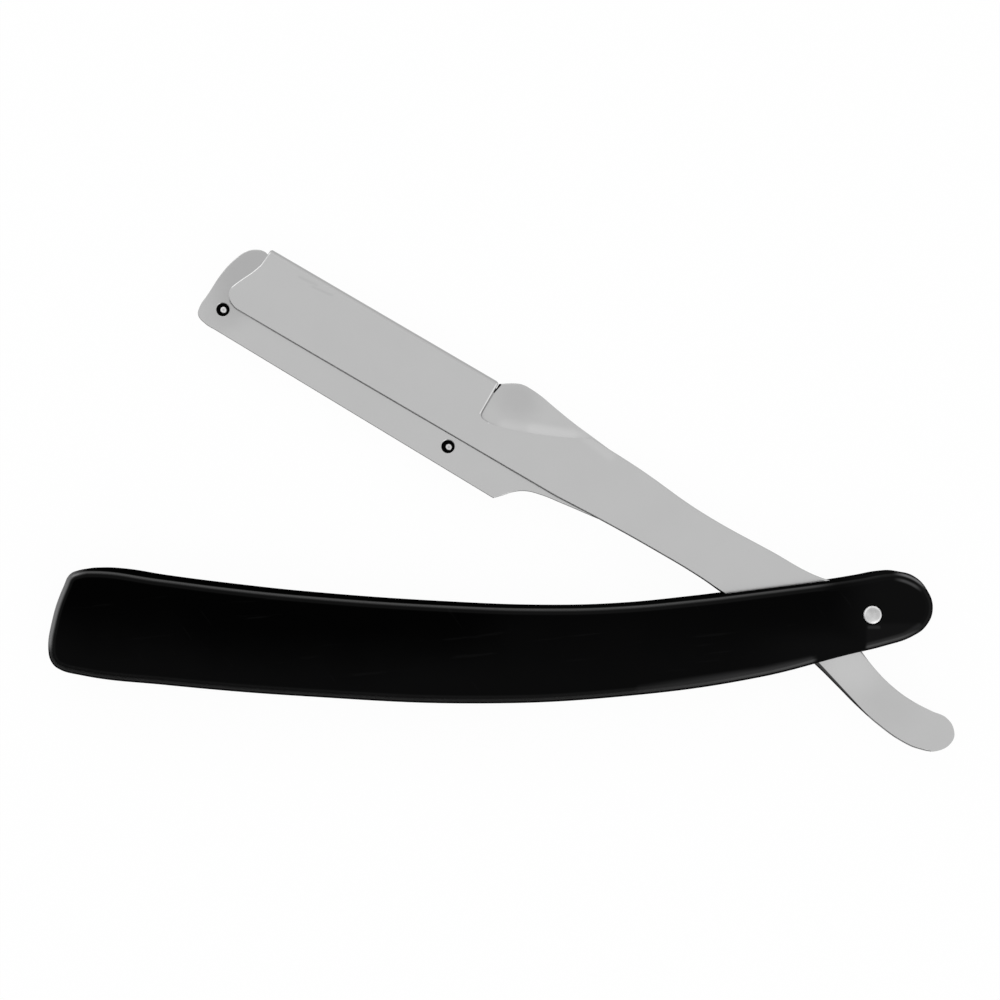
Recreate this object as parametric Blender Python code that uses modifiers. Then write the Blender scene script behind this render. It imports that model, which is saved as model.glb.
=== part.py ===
"""Folding barber razor whose two steel plates hold one half of a double-edged blade.

Run with: blender --background --python part.py

The razor lies on the back of its handle, opened part way. X runs along the handle
towards its pivot end, Y towards the raised holder and Z out of the front. Every piece is
drawn round the pivot axis: handle pieces straight in X and Y, plates along the arm, with
X from the pivot to the nose and Y from the spine to the cutting edge.
"""

import math

import bmesh
import bpy
from mathutils import Matrix, Vector

MM = 0.001

# Handle: two plastic halves with a slot between them for the folded holder
JOINED_END = 11.1 * MM          # joined end of the handle, beyond the folded nose
HANDLE_BELLY = 13.3 * MM        # pivot line to the lowest point of the belly
HALF_THICKNESS = 2.0 * MM
HANDLE_EDGE_RADIUS = 1.1 * MM
BACK_WALL = 1.1 * MM            # wall that closes the slot along the belly
NOSE_CLEARANCE = 1.5 * MM       # folded nose to the joined end of the handle
TAIL_CLEARANCE = 1.0 * MM       # turning tail to the near end of the back wall
REAR_EDGE_RISE = 0.12 * MM      # rear half's top edge over the front half's

# Steel plates
SHEET = 0.7 * MM
RUNNING_GAP = 0.3 * MM          # between pieces that slide over or sit on each other
HEAD_REACH = 110.0 * MM         # pivot to the tip of the nose, along the arm
HEAD_DEPTH = 13.4 * MM          # arm's middle line to the heel of the cutting edge
ARM_ANGLE = math.radians(149.7)     # arm in the half-open pose, from +X

# Fold along the spine of the clamp plate
SPINE_OFFSET = 2.0 * MM         # middle line to the outside of the fold
FOLD_INNER_RADIUS = 0.3 * MM
FOLD_HEEL_REACH = 65.4 * MM     # pivot to the end of the fold at the notch
NOSE_STEP = 5.0 * MM            # end of the fold at the nose to the tip of the nose
LIP_WIDTH = 2.5 * MM            # turned-under lip behind the seat plate
NOTCH_CLEARANCE = 0.45 * MM     # end of the fold to the thumb ear

# Pins that locate the half blade, each standing in a wider hole of the seat plate
PIN_SPACING = 39.6 * MM         # between the middles of the two holes
NOSE_PIN_SET = 3.2 * MM         # tip of the nose to the hole nearest to it
NOSE_PIN_RISE = 3.9 * MM        # depth of the heel to the middle of that hole
HEEL_PIN_RISE = 3.2 * MM
PIN_RADIUS = 0.5 * MM
PIN_STAND = 0.3 * MM            # end of the pin over the seat plate
PIN_ROUNDING = 0.12 * MM
PIN_HOLE_GAP = 0.45 * MM        # round the pin, to the wall of its hole
PIN_SET_BACK = 0.12 * MM        # pin's axis from the middle of its hole, towards the pivot
PIN_FLANGE_RADIUS = 1.5 * MM    # flange that carries the pin, behind the seat plate
PIN_FLANGE = 0.2 * MM
PIN_GAP = 0.12 * MM             # between pieces that are fixed to each other

# Pivot rivet, its collar and the two washers
RIVET_RADIUS = 0.8 * MM
RIVET_HEAD_RADIUS = 1.35 * MM
RIVET_HEAD_HEIGHT = 0.5 * MM
RIVET_CROWN_HEIGHT = 0.15 * MM  # crown of the head over its rim
RIVET_STAND = 0.15 * MM         # rim of the head over the handle's face
HEAD_RECESS_GAP = 0.2 * MM
COLLAR_RADIUS = 1.7 * MM
COLLAR_THICKNESS = 0.35 * MM
PEEN_RADIUS = 1.25 * MM
PEEN_HEIGHT = 0.35 * MM
PEEN_SET_BACK = 0.15 * MM       # hammered end below the back of the handle
WASHER_RADIUS = 3.2 * MM
FRONT_WASHER = 0.3 * MM

# Tail and pivot lobe
TAIL_REACH = 22.8 * MM          # pivot to the end of the tail
LOBE_RADIUS = 4.4 * MM

# Drawing
CURVE_STEPS = 5
EDGE_SEGMENTS = 3
BEND_SEGMENTS = 5
ROUND_STEPS = 28
WELD = 0.001 * MM
OVERRUN = 1.0 * MM              # how far a cutter passes what it cuts
FLAT_ANGLE = math.radians(0.4)
SHARP_ANGLE = math.radians(35)

# Levels over the resting face, worked out from the stack of plates
LIP_BACK = HALF_THICKNESS + RUNNING_GAP
SEAT_BACK = LIP_BACK + SHEET + RUNNING_GAP
SEAT_FRONT = SEAT_BACK + SHEET
CLAMP_BACK = SEAT_FRONT + RUNNING_GAP
CLAMP_FRONT = CLAMP_BACK + SHEET
FRONT_WASHER_BACK = CLAMP_FRONT + RUNNING_GAP
SLOT_FRONT = FRONT_WASHER_BACK + FRONT_WASHER + RUNNING_GAP
HANDLE_FRONT = SLOT_FRONT + HALF_THICKNESS
JOINED_FRONT = SLOT_FRONT - RUNNING_GAP

HANDLE_REACH = HEAD_REACH + NOSE_CLEARANCE + JOINED_END
FOLD_NOSE_REACH = HEAD_REACH - NOSE_STEP
FOLD_RADIUS = FOLD_INNER_RADIUS + SHEET
FOLD_LINE = SPINE_OFFSET - FOLD_RADIUS
SEAT_SPINE = SPINE_OFFSET - SHEET - RUNNING_GAP
HOLE_RADIUS = RIVET_RADIUS + RUNNING_GAP
HEAD_RECESS_RADIUS = RIVET_HEAD_RADIUS + HEAD_RECESS_GAP
REAR_RECESS_DEPTH = PEEN_SET_BACK + PEEN_HEIGHT + PIN_GAP + COLLAR_THICKNESS + PIN_GAP

SMOOTH = "AUTO"
CORNER = "VECTOR"

# Far end of the handle: shares of the belly, in from the end and up from the pivot line
FAR_END_SHARES = (
    (0.106, -0.605, SMOOTH), (0.037, -0.538, SMOOTH), (0.000, -0.421, SMOOTH),
    (0.037, -0.083, SMOOTH), (0.175, 0.331, SMOOTH), (0.240, 0.451, SMOOTH),
    (0.341, 0.497, SMOOTH), (0.512, 0.515, SMOOTH),
)
# Pivot end: shares of the belly, towards the far end and up
PIVOT_END_SHARES = (
    (0.129, 0.430, SMOOTH), (-0.141, 0.478, SMOOTH), (-0.313, 0.481, SMOOTH),
    (-0.484, 0.425, SMOOTH), (-0.618, 0.285, SMOOTH), (-0.687, 0.075, SMOOTH),
    (-0.618, -0.120, SMOOTH), (-0.461, -0.243, SMOOTH), (-0.143, -0.353, SMOOTH),
)
# Long edges: shares of the reach from the pivot to the far end, and of the belly
TOP_EDGE_SHARES = (
    (0.865, 0.423, SMOOTH), (0.7785, 0.321, SMOOTH), (0.692, 0.236, SMOOTH),
    (0.5195, 0.122, SMOOTH), (0.390, 0.081, SMOOTH), (0.3035, 0.104, SMOOTH),
    (0.217, 0.181, SMOOTH), (0.1305, 0.280, SMOOTH),
)
BELLY_SHARES = (
    (0.0285, -0.451, SMOOTH), (0.1355, -0.703, SMOOTH), (0.306, -0.921, SMOOTH),
    (0.4755, -0.997, SMOOTH), (0.688, -0.917, SMOOTH), (0.859, -0.789, SMOOTH),
    (0.962, -0.678, SMOOTH),
)
# Ends of the rear half's raised edge
RISE_FAR_SHARE = (0.9135, 0.493, SMOOTH)
RISE_NEAR_SHARE = (0.047, 0.372, SMOOTH)

# Plate outlines: shares of the head's reach along the arm and of its depth across it
CLAMP_NOSE_SHARES = (
    (0.956, 0.060, CORNER), (0.960, 0.155, SMOOTH), (0.973, 0.390, SMOOTH),
    (0.9755, 0.460, SMOOTH), (0.971, 0.565, SMOOTH), (0.9585, 0.628, SMOOTH),
    (0.9435, 0.636, CORNER),
)
ARM_EDGE_SHARES = (
    (0.450, 0.636, CORNER), (0.383, 0.612, SMOOTH), (0.301, 0.598, SMOOTH),
    (0.224, 0.605, SMOOTH), (0.188, 0.630, SMOOTH), (0.082, 0.710, SMOOTH),
)
ARM_BACK_SHARES = (
    (0.078, -0.085, SMOOTH), (0.161, -0.052, SMOOTH), (0.269, -0.037, SMOOTH),
    (0.368, -0.104, SMOOTH), (0.445, -0.130, CORNER),
)
CUT_OUT_SHARES = (
    (0.485, 0.037, SMOOTH), (0.536, 0.209, SMOOTH), (0.5625, 0.280, SMOOTH),
    (0.582, 0.298, SMOOTH), (0.5925, 0.276, SMOOTH),
)
NOTCH_FOOT_SHARE = 0.210            # depth at which the notch's straight edge ends
SEAT_NOSE_SHARES = (
    (0.9615, -0.088, SMOOTH), (0.974, -0.055, SMOOTH), (0.984, 0.025, SMOOTH),
    (0.991, 0.150, SMOOTH), (0.9965, 0.330, SMOOTH), (0.9990, 0.640, SMOOTH),
    (1.000, 0.820, SMOOTH), (0.9965, 0.900, SMOOTH), (0.982, 0.946, SMOOTH),
    (0.965, 0.950, CORNER),
)
HEEL_SHARES = (
    (0.522, 1.005, CORNER), (0.513, 0.928, SMOOTH), (0.5025, 0.833, SMOOTH),
    (0.4895, 0.758, SMOOTH), (0.469, 0.706, SMOOTH), (0.436, 0.666, SMOOTH),
    (0.391, 0.620, SMOOTH), (0.340, 0.568, SMOOTH), (0.224, 0.545, SMOOTH),
    (0.120, 0.520, SMOOTH), (0.062, 0.440, SMOOTH),
)
SEAT_BACK_SHARES = (
    (0.078, -0.060, SMOOTH), (0.161, -0.022, SMOOTH), (0.269, -0.007, SMOOTH),
    (0.368, -0.080, SMOOTH), (0.412, -0.119, SMOOTH), (0.446, -0.149, SMOOTH),
    (0.4795, -0.179, SMOOTH), (0.514, -0.224, SMOOTH), (0.535, -0.254, SMOOTH),
    (0.5505, -0.265, SMOOTH), (0.565, -0.261, SMOOTH), (0.575, -0.232, SMOOTH),
    (0.584, -0.178, SMOOTH),
)
EAR_FOOT_SHARE = 0.126              # height at which the ear meets the notch's edge

# Tail outline: shares of the tail's reach behind the pivot and across the arm
TAIL_SHARES = (
    (-0.092, 0.478, SMOOTH), (0.053, 0.516, SMOOTH), (0.246, 0.567, SMOOTH),
    (0.434, 0.604, SMOOTH), (0.610, 0.618, SMOOTH), (0.724, 0.605, SMOOTH),
    (0.838, 0.554, SMOOTH), (0.893, 0.447, SMOOTH), (0.868, 0.382, SMOOTH),
    (0.785, 0.335, SMOOTH), (0.680, 0.344, SMOOTH), (0.535, 0.351, SMOOTH),
    (0.390, 0.338, SMOOTH), (0.219, 0.294, SMOOTH), (0.083, 0.241, SMOOTH),
)
# Lobe round the pivot: angles from the tail side, over the back, to the arm
LOBE_ANGLES = (145, 180, 225, 270, 315)
SEAT_LOBE_ANGLES = (100, 140, 180, 225, 270, 315)


def empty_at(name, parent, angle):
    """An empty on the pivot axis that carries the pieces of one moving group."""
    empty = bpy.data.objects.new(name, None)
    bpy.context.scene.collection.objects.link(empty)
    empty.parent = parent
    empty.rotation_euler.z = angle
    return empty


def material(name, colour, metallic, roughness):
    """A plain Principled finish."""
    finish = bpy.data.materials.new(name)
    finish.use_nodes = True
    shader = finish.node_tree.nodes["Principled BSDF"]
    shader.inputs["Base Color"].default_value = (*colour, 1.0)
    shader.inputs["Metallic"].default_value = metallic
    shader.inputs["Roughness"].default_value = roughness
    return finish


def place(mesh, name, parent, collection, finish, height=0.0):
    """Put a mesh in the scene as a named piece that follows its empty."""
    piece = bpy.data.objects.new(name, mesh)
    collection.objects.link(piece)
    piece.parent = parent
    piece.location.z = height
    if finish:
        piece.data.materials.append(finish)
    return piece


def filled_outline(name, points, thickness):
    """Mesh of a closed outline, drawn as a filled 2D curve and made one plain solid."""
    curve = bpy.data.curves.new(name, "CURVE")
    curve.dimensions = "2D"
    curve.fill_mode = "BOTH"
    curve.extrude = thickness / 2
    spline = curve.splines.new("BEZIER")
    spline.bezier_points.add(len(points) - 1)
    spline.resolution_u = CURVE_STEPS
    spline.use_cyclic_u = True
    for knot, (x, y, kind) in zip(spline.bezier_points, points):
        knot.co = (x, y, 0)
        knot.handle_left_type = kind
        knot.handle_right_type = kind
    drawing = bpy.data.objects.new(name, curve)
    bpy.context.scene.collection.objects.link(drawing)
    shown = drawing.evaluated_get(bpy.context.evaluated_depsgraph_get())
    mesh = bpy.data.meshes.new_from_object(shown)
    mesh.name = name
    bpy.data.objects.remove(drawing)

    shape = bmesh.new()
    shape.from_mesh(mesh)
    bmesh.ops.remove_doubles(shape, verts=shape.verts, dist=WELD)
    bmesh.ops.dissolve_limit(shape, angle_limit=FLAT_ANGLE, verts=shape.verts,
                             edges=shape.edges)
    bmesh.ops.recalc_face_normals(shape, faces=shape.faces)
    shape.to_mesh(mesh)
    shape.free()
    return mesh


def round_rim(mesh, upward, radius):
    """Round the rim of a flat solid's front face, or of its back face."""
    shape = bmesh.new()
    shape.from_mesh(mesh)
    side = 1 if upward else -1
    face = max(shape.faces, key=lambda f: (f.normal.z * side, f.calc_area()))
    bmesh.ops.bevel(shape, geom=list(face.edges), offset=radius, offset_type="OFFSET",
                    segments=EDGE_SEGMENTS, profile=0.5, affect="EDGES", material=-1)
    shape.to_mesh(mesh)
    shape.free()


def split_faces(mesh):
    """Split the many-sided faces of an outline into triangles, which holes cut cleanly."""
    shape = bmesh.new()
    shape.from_mesh(mesh)
    many_sided = [face for face in shape.faces if len(face.verts) > 4]
    bmesh.ops.triangulate(shape, faces=many_sided)
    shape.to_mesh(mesh)
    shape.free()


def shade_round(piece):
    """Smooth shading with sharp edges where the surface turns a corner."""
    piece.data.shade_smooth()
    piece.data.set_sharp_from_angle(angle=SHARP_ANGLE)


def turned(name, profile, closed, parent, collection, finish, height=0.0):
    """A turned piece: a profile of (radius, level) points, down its outer side."""
    mesh = bpy.data.meshes.new(name)
    corners = [(radius, 0, level) for radius, level in profile]
    edges = [(i, i + 1) for i in range(len(corners) - 1)]
    if closed:
        edges.append((len(corners) - 1, 0))
    mesh.from_pydata(corners, edges, [])
    piece = place(mesh, name, parent, collection, finish, height)
    screw = piece.modifiers.new("turn", "SCREW")
    screw.axis = "Z"
    screw.steps = ROUND_STEPS
    screw.render_steps = ROUND_STEPS
    screw.use_merge_vertices = True
    screw.merge_threshold = WELD
    screw.use_smooth_shade = True
    return piece


def round_cutter(name, radius, bottom, top, parent, collection, place_at=(0, 0)):
    """A cylinder that drills a hole or a recess."""
    mesh = bpy.data.meshes.new(name)
    shape = bmesh.new()
    centre = Vector((*place_at, (bottom + top) / 2))
    bmesh.ops.create_cone(shape, cap_ends=True, segments=ROUND_STEPS, radius1=radius,
                          radius2=radius, depth=top - bottom,
                          matrix=Matrix.Translation(centre))
    shape.to_mesh(mesh)
    shape.free()
    cutter = place(mesh, name, parent, collection, None)
    cutter.hide_render = True
    cutter.display_type = "WIRE"
    return cutter


def cut(piece, cutter):
    """Take a cutter's shape out of a piece."""
    boolean = piece.modifiers.new(cutter.name, "BOOLEAN")
    boolean.operation = "DIFFERENCE"
    boolean.solver = "EXACT"
    boolean.object = cutter


def edge_points(shares):
    """Outline points of one long edge of the handle, in X and Y from the pivot."""
    return [(-along * HANDLE_REACH, up * HANDLE_BELLY, kind) for along, up, kind in shares]


def pivot_end_points():
    """Outline points of the rounded end round the pivot."""
    return [(-along * HANDLE_BELLY, up * HANDLE_BELLY, kind)
            for along, up, kind in PIVOT_END_SHARES]


def far_end_points():
    """Outline points of the far end of the handle."""
    return [(-HANDLE_REACH + inward * HANDLE_BELLY, up * HANDLE_BELLY, kind)
            for inward, up, kind in FAR_END_SHARES]


def plate_points(shares):
    """Outline points of one stretch of a plate, along and across the arm."""
    return [(along * HEAD_REACH, across * HEAD_DEPTH, kind) for along, across, kind in shares]


def tail_points():
    """Outline points of the tail, which runs back from the pivot."""
    return [(-along * TAIL_REACH, across * TAIL_REACH, kind)
            for along, across, kind in TAIL_SHARES]


def lobe_points(angles, radius):
    """Outline points round the pivot."""
    return [(radius * math.cos(math.radians(angle)), radius * math.sin(math.radians(angle)),
             SMOOTH) for angle in angles]


def raised(points, rise):
    """The same points, moved up in Y."""
    return [(x, y + rise, kind) for x, y, kind in points]


def front_outline():
    """Outline of the front half of the handle, from its far end over the top."""
    return (far_end_points() + edge_points(TOP_EDGE_SHARES)
            + pivot_end_points() + edge_points(BELLY_SHARES))


def rear_outline():
    """The rear half's outline: the same, with its top edge standing up a little."""
    top = (edge_points((RISE_FAR_SHARE,)) + edge_points(TOP_EDGE_SHARES)
           + edge_points((RISE_NEAR_SHARE,)))
    return (far_end_points() + raised(top, REAR_EDGE_RISE)
            + pivot_end_points() + edge_points(BELLY_SHARES))


def nose_radius():
    """Largest distance of the seat plate from the pivot axis."""
    return max(math.hypot(x, y) for x, y, _ in plate_points(SEAT_NOSE_SHARES))


def arc(radius, start, end, steps):
    """Corner points on an arc about the pivot, angles from +X."""
    angles = [start + (end - start) * step / steps for step in range(steps + 1)]
    return [(radius * math.cos(angle), radius * math.sin(angle), CORNER) for angle in angles]


def angle_of(x, y):
    """Angle of a point about the pivot, from 0 to a full turn."""
    return math.atan2(y, x) % math.tau


def crossing(points, radius):
    """Corner point where a run of outline points crosses a circle about the pivot."""
    for (x1, y1, _), (x2, y2, _) in zip(points, points[1:]):
        near, far = math.hypot(x1, y1), math.hypot(x2, y2)
        if near <= radius < far:
            share = (radius - near) / (far - near)
            return x1 + (x2 - x1) * share, y1 + (y2 - y1) * share, CORNER
    raise ValueError("the back wall doesn't reach that circle")


def slot_outline():
    """Space between the halves: open over the top and the pivot end, walled at the belly.

    The joined far end and the near end of the back wall both follow arcs about the pivot,
    just clear of the folded nose and of the turning tail.
    """
    far_radius = nose_radius() + NOSE_CLEARANCE
    near_radius = TAIL_REACH + TAIL_CLEARANCE
    wall = raised(edge_points(BELLY_SHARES), BACK_WALL)
    inside = [point for point in wall if near_radius < math.hypot(*point[:2]) < far_radius]
    far_foot = crossing(wall, far_radius)
    near_foot = crossing(wall, near_radius)
    outside = HANDLE_BELLY + OVERRUN
    far_arc = arc(far_radius, math.pi - math.asin(outside / far_radius),
                  angle_of(*far_foot[:2]), BEND_SEGMENTS)
    near_arc = arc(near_radius, angle_of(*near_foot[:2]),
                   math.pi + math.asin(outside / near_radius), BEND_SEGMENTS)
    corners = [(near_radius, -outside, CORNER), (near_radius, outside, CORNER)]
    return far_arc + list(reversed(inside)) + near_arc + corners


def make_handle(root, parts, cutters, plastic):
    """The two halves, the slot between them and the holes for the rivet."""
    front_mesh = filled_outline("handle_front", front_outline(), HALF_THICKNESS)
    round_rim(front_mesh, True, HANDLE_EDGE_RADIUS)
    split_faces(front_mesh)
    front = place(front_mesh, "handle_front", root, parts, plastic,
                  (SLOT_FRONT + HANDLE_FRONT) / 2)
    rear_mesh = filled_outline("handle_rear", rear_outline(), JOINED_FRONT)
    round_rim(rear_mesh, False, HANDLE_EDGE_RADIUS)
    split_faces(rear_mesh)
    rear = place(rear_mesh, "handle_rear", root, parts, plastic, JOINED_FRONT / 2)

    slot_top = JOINED_FRONT + OVERRUN
    slot_mesh = filled_outline("slot_cutter", slot_outline(), slot_top - HALF_THICKNESS)
    split_faces(slot_mesh)
    slot = place(slot_mesh, "slot_cutter", root, cutters, None,
                 (HALF_THICKNESS + slot_top) / 2)
    slot.hide_render = True
    slot.display_type = "WIRE"
    rivet_hole = round_cutter("rivet_hole_cutter", HOLE_RADIUS, -OVERRUN,
                              HANDLE_FRONT + OVERRUN, root, cutters)
    recess_floor = HANDLE_FRONT + RIVET_STAND - RIVET_HEAD_HEIGHT - PIN_GAP
    head_recess = round_cutter("head_recess_cutter", HEAD_RECESS_RADIUS, recess_floor,
                               HANDLE_FRONT + OVERRUN, root, cutters)
    rear_recess = round_cutter("rear_recess_cutter", COLLAR_RADIUS + PIN_GAP, -OVERRUN,
                               REAR_RECESS_DEPTH, root, cutters)
    cut(front, rivet_hole)
    cut(front, head_recess)
    cut(rear, rivet_hole)
    cut(rear, rear_recess)
    cut(rear, slot)
    shade_round(front)
    shade_round(rear)


def make_pivot(root, parts, steel):
    """Rivet with a low domed head, the collar it is hammered over, and two washers."""
    head_rim = HANDLE_FRONT + RIVET_STAND
    head_back = head_rim - RIVET_HEAD_HEIGHT
    peen_back = PEEN_SET_BACK
    peen_front = peen_back + PEEN_HEIGHT
    crown_share = 0.6           # radius share at which the crown's slope begins
    edge_share = 0.85
    profile = [
        (0, head_rim + RIVET_CROWN_HEIGHT),
        (RIVET_HEAD_RADIUS * crown_share, head_rim + RIVET_CROWN_HEIGHT * edge_share),
        (RIVET_HEAD_RADIUS, head_rim),
        (RIVET_HEAD_RADIUS, head_back),
        (RIVET_RADIUS, head_back),
        (RIVET_RADIUS, peen_front),
        (PEEN_RADIUS, peen_front),
        (PEEN_RADIUS * edge_share, peen_back),
        (0, peen_back),
    ]
    turned("pivot_rivet", profile, False, root, parts, steel)

    collar_back = peen_front + PIN_GAP
    ring("rivet_collar", COLLAR_RADIUS, RIVET_RADIUS + PIN_GAP, collar_back,
         collar_back + COLLAR_THICKNESS, root, parts, steel)
    ring("washer_rear", WASHER_RADIUS, HOLE_RADIUS, LIP_BACK, LIP_BACK + SHEET,
         root, parts, steel)
    ring("washer_front", WASHER_RADIUS, HOLE_RADIUS, FRONT_WASHER_BACK,
         FRONT_WASHER_BACK + FRONT_WASHER, root, parts, steel)


def ring(name, outer, inner, bottom, top, parent, collection, finish):
    """A flat ring on the pivot axis."""
    profile = [(outer, top), (outer, bottom), (inner, bottom), (inner, top)]
    return turned(name, profile, True, parent, collection, finish)


def seat_outline():
    """Rear plate: nose, cutting-edge strip, heel, arm, pivot lobe, thumb ear and spine."""
    ear_reach = FOLD_HEEL_REACH - NOTCH_CLEARANCE
    spine = [(ear_reach, -EAR_FOOT_SHARE * HEAD_DEPTH, CORNER),
             (ear_reach, -SEAT_SPINE, CORNER), (FOLD_NOSE_REACH, -SEAT_SPINE, CORNER)]
    return (plate_points(SEAT_NOSE_SHARES) + plate_points(HEEL_SHARES)
            + lobe_points(SEAT_LOBE_ANGLES, LOBE_RADIUS) + plate_points(SEAT_BACK_SHARES)
            + spine)


def pin_places():
    """Name and middle of each hole in the seat plate that a blade pin stands in."""
    nose_reach = HEAD_REACH - NOSE_PIN_SET
    return (("blade_pin_nose", nose_reach, HEAD_DEPTH - NOSE_PIN_RISE),
            ("blade_pin_heel", nose_reach - PIN_SPACING, HEAD_DEPTH - HEEL_PIN_RISE))


def make_seat(arm, parts, cutters, steel, bright_steel):
    """Rear plate that carries the half blade, with its two pins."""
    mesh = filled_outline("seat_plate", seat_outline(), SHEET)
    split_faces(mesh)
    seat = place(mesh, "seat_plate", arm, parts, steel, (SEAT_BACK + SEAT_FRONT) / 2)
    hole = round_cutter("seat_hole_cutter", HOLE_RADIUS, SEAT_BACK - OVERRUN,
                        SEAT_FRONT + OVERRUN, arm, cutters)
    cut(seat, hole)
    for name, along, across in pin_places():
        pin_hole = round_cutter(name + "_cutter", PIN_RADIUS + PIN_HOLE_GAP,
                                SEAT_BACK - OVERRUN, SEAT_FRONT + OVERRUN, arm, cutters,
                                (along, across))
        cut(seat, pin_hole)
        make_pin(name, along - PIN_SET_BACK, across, arm, parts, bright_steel)
    shade_round(seat)


def make_pin(name, along, across, arm, parts, finish):
    """A pin with a rounded end, on a flange that is fixed behind the seat plate."""
    tip = SEAT_FRONT + PIN_STAND
    flange_front = SEAT_BACK - PIN_GAP
    profile = [
        (0, tip),
        (PIN_RADIUS - PIN_ROUNDING, tip),
        (PIN_RADIUS, tip - PIN_ROUNDING),
        (PIN_RADIUS, flange_front),
        (PIN_FLANGE_RADIUS, flange_front),
        (PIN_FLANGE_RADIUS, flange_front - PIN_FLANGE),
        (0, flange_front - PIN_FLANGE),
    ]
    pin = turned(name, profile, False, arm, parts, finish)
    pin.location.x = along
    pin.location.y = across


def clamp_outline():
    """Flat front of the clamp plate, up to the line where its spine bends over."""
    notch_foot = NOTCH_FOOT_SHARE * HEAD_DEPTH
    spine = [(FOLD_HEEL_REACH, notch_foot, CORNER), (FOLD_HEEL_REACH, -FOLD_LINE, CORNER),
             (FOLD_NOSE_REACH, -FOLD_LINE, CORNER)]
    return (plate_points(CLAMP_NOSE_SHARES) + plate_points(ARM_EDGE_SHARES)
            + tail_points() + lobe_points(LOBE_ANGLES, LOBE_RADIUS)
            + plate_points(ARM_BACK_SHARES) + plate_points(CUT_OUT_SHARES) + spine)


def extend(shape, edges, offset):
    """Pull a sheet's open edges out along a straight line; returns the new edges."""
    pulled = bmesh.ops.extrude_edge_only(shape, edges=edges)["geom"]
    corners = [item for item in pulled if isinstance(item, bmesh.types.BMVert)]
    bmesh.ops.translate(shape, verts=corners, vec=offset)
    return [item for item in pulled if isinstance(item, bmesh.types.BMEdge)
            and all(corner in corners for corner in item.verts)]


def bend(shape, edges, centre):
    """Bend a sheet's open edges a quarter turn about a line along the arm."""
    turned_edges = bmesh.ops.spin(shape, geom=edges, cent=centre, axis=(1, 0, 0),
                                  dvec=(0, 0, 0), angle=math.pi / 2, steps=BEND_SEGMENTS,
                                  use_merge=False, use_normal_flip=False,
                                  use_duplicate=False)["geom_last"]
    return [item for item in turned_edges if isinstance(item, bmesh.types.BMEdge)]


def make_clamp(arm, parts, cutters, steel):
    """Front plate with the tail, whose spine is folded round the seat plate's."""
    mesh = filled_outline("clamp_plate", clamp_outline(), 0)
    shape = bmesh.new()
    shape.from_mesh(mesh)
    if sum(face.normal.z for face in shape.faces) < 0:
        bmesh.ops.reverse_faces(shape, faces=shape.faces)
    fold_edges = [edge for edge in shape.edges
                  if all(abs(corner.co.y + FOLD_LINE) < WELD
                         and corner.co.x > FOLD_HEEL_REACH - WELD for corner in edge.verts)]
    flat = CLAMP_FRONT - LIP_BACK - 2 * FOLD_RADIUS
    edges = bend(shape, fold_edges, (0, -FOLD_LINE, -FOLD_RADIUS))
    edges = extend(shape, edges, (0, 0, -flat))
    edges = bend(shape, edges, (0, -FOLD_LINE, -FOLD_RADIUS - flat))
    extend(shape, edges, (0, LIP_WIDTH, 0))
    bmesh.ops.recalc_face_normals(shape, faces=shape.faces)
    widest = max(shape.faces, key=lambda face: face.calc_area())
    if widest.normal.z < 0:
        bmesh.ops.reverse_faces(shape, faces=shape.faces)
    shape.to_mesh(mesh)
    shape.free()
    split_faces(mesh)

    clamp = place(mesh, "clamp_plate", arm, parts, steel, CLAMP_FRONT)
    wall = clamp.modifiers.new("sheet", "SOLIDIFY")
    wall.thickness = SHEET
    wall.offset = -1
    wall.use_even_offset = True
    hole = round_cutter("clamp_hole_cutter", HOLE_RADIUS, CLAMP_BACK - OVERRUN,
                        CLAMP_FRONT + OVERRUN, arm, cutters)
    cut(clamp, hole)
    shade_round(clamp)


def centre_over_origin(root, parts):
    """Move the razor so that the middle of its box stands over the origin."""
    bpy.context.view_layer.update()
    depsgraph = bpy.context.evaluated_depsgraph_get()
    corners = []
    for piece in parts.objects:
        shown = piece.evaluated_get(depsgraph)
        mesh = shown.to_mesh()
        corners += [shown.matrix_world @ vertex.co for vertex in mesh.vertices]
        shown.to_mesh_clear()
    lows = [min(corner[axis] for corner in corners) for axis in range(3)]
    highs = [max(corner[axis] for corner in corners) for axis in range(3)]
    root.location = (-(lows[0] + highs[0]) / 2, -(lows[1] + highs[1]) / 2, -lows[2])
    bpy.context.view_layer.update()
    print("pivot axis at", [round(value, 6) for value in root.location])
    print("size", [round(high - low, 6) for low, high in zip(lows, highs)])


def main():
    """Build the whole razor."""
    for old in list(bpy.data.objects):
        bpy.data.objects.remove(old)
    parts = bpy.data.collections.new("folding_razor")
    cutters = bpy.data.collections.new("cutters")
    bpy.context.scene.collection.children.link(parts)
    bpy.context.scene.collection.children.link(cutters)

    plastic = material("black_plastic", (0.011, 0.011, 0.012), 0.0, 0.38)
    plate_steel = material("satin_steel", (0.60, 0.60, 0.60), 1.0, 0.34)
    bright_steel = material("bright_steel", (0.72, 0.72, 0.72), 1.0, 0.22)

    root = empty_at("razor_pivot", None, 0)
    seat_arm = empty_at("arm_fold", root, ARM_ANGLE)
    clamp_arm = empty_at("clamp_swing", seat_arm, 0)

    make_handle(root, parts, cutters, plastic)
    make_pivot(root, parts, bright_steel)
    make_seat(seat_arm, parts, cutters, plate_steel, bright_steel)
    make_clamp(clamp_arm, parts, cutters, plate_steel)
    centre_over_origin(root, parts)


main()
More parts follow.
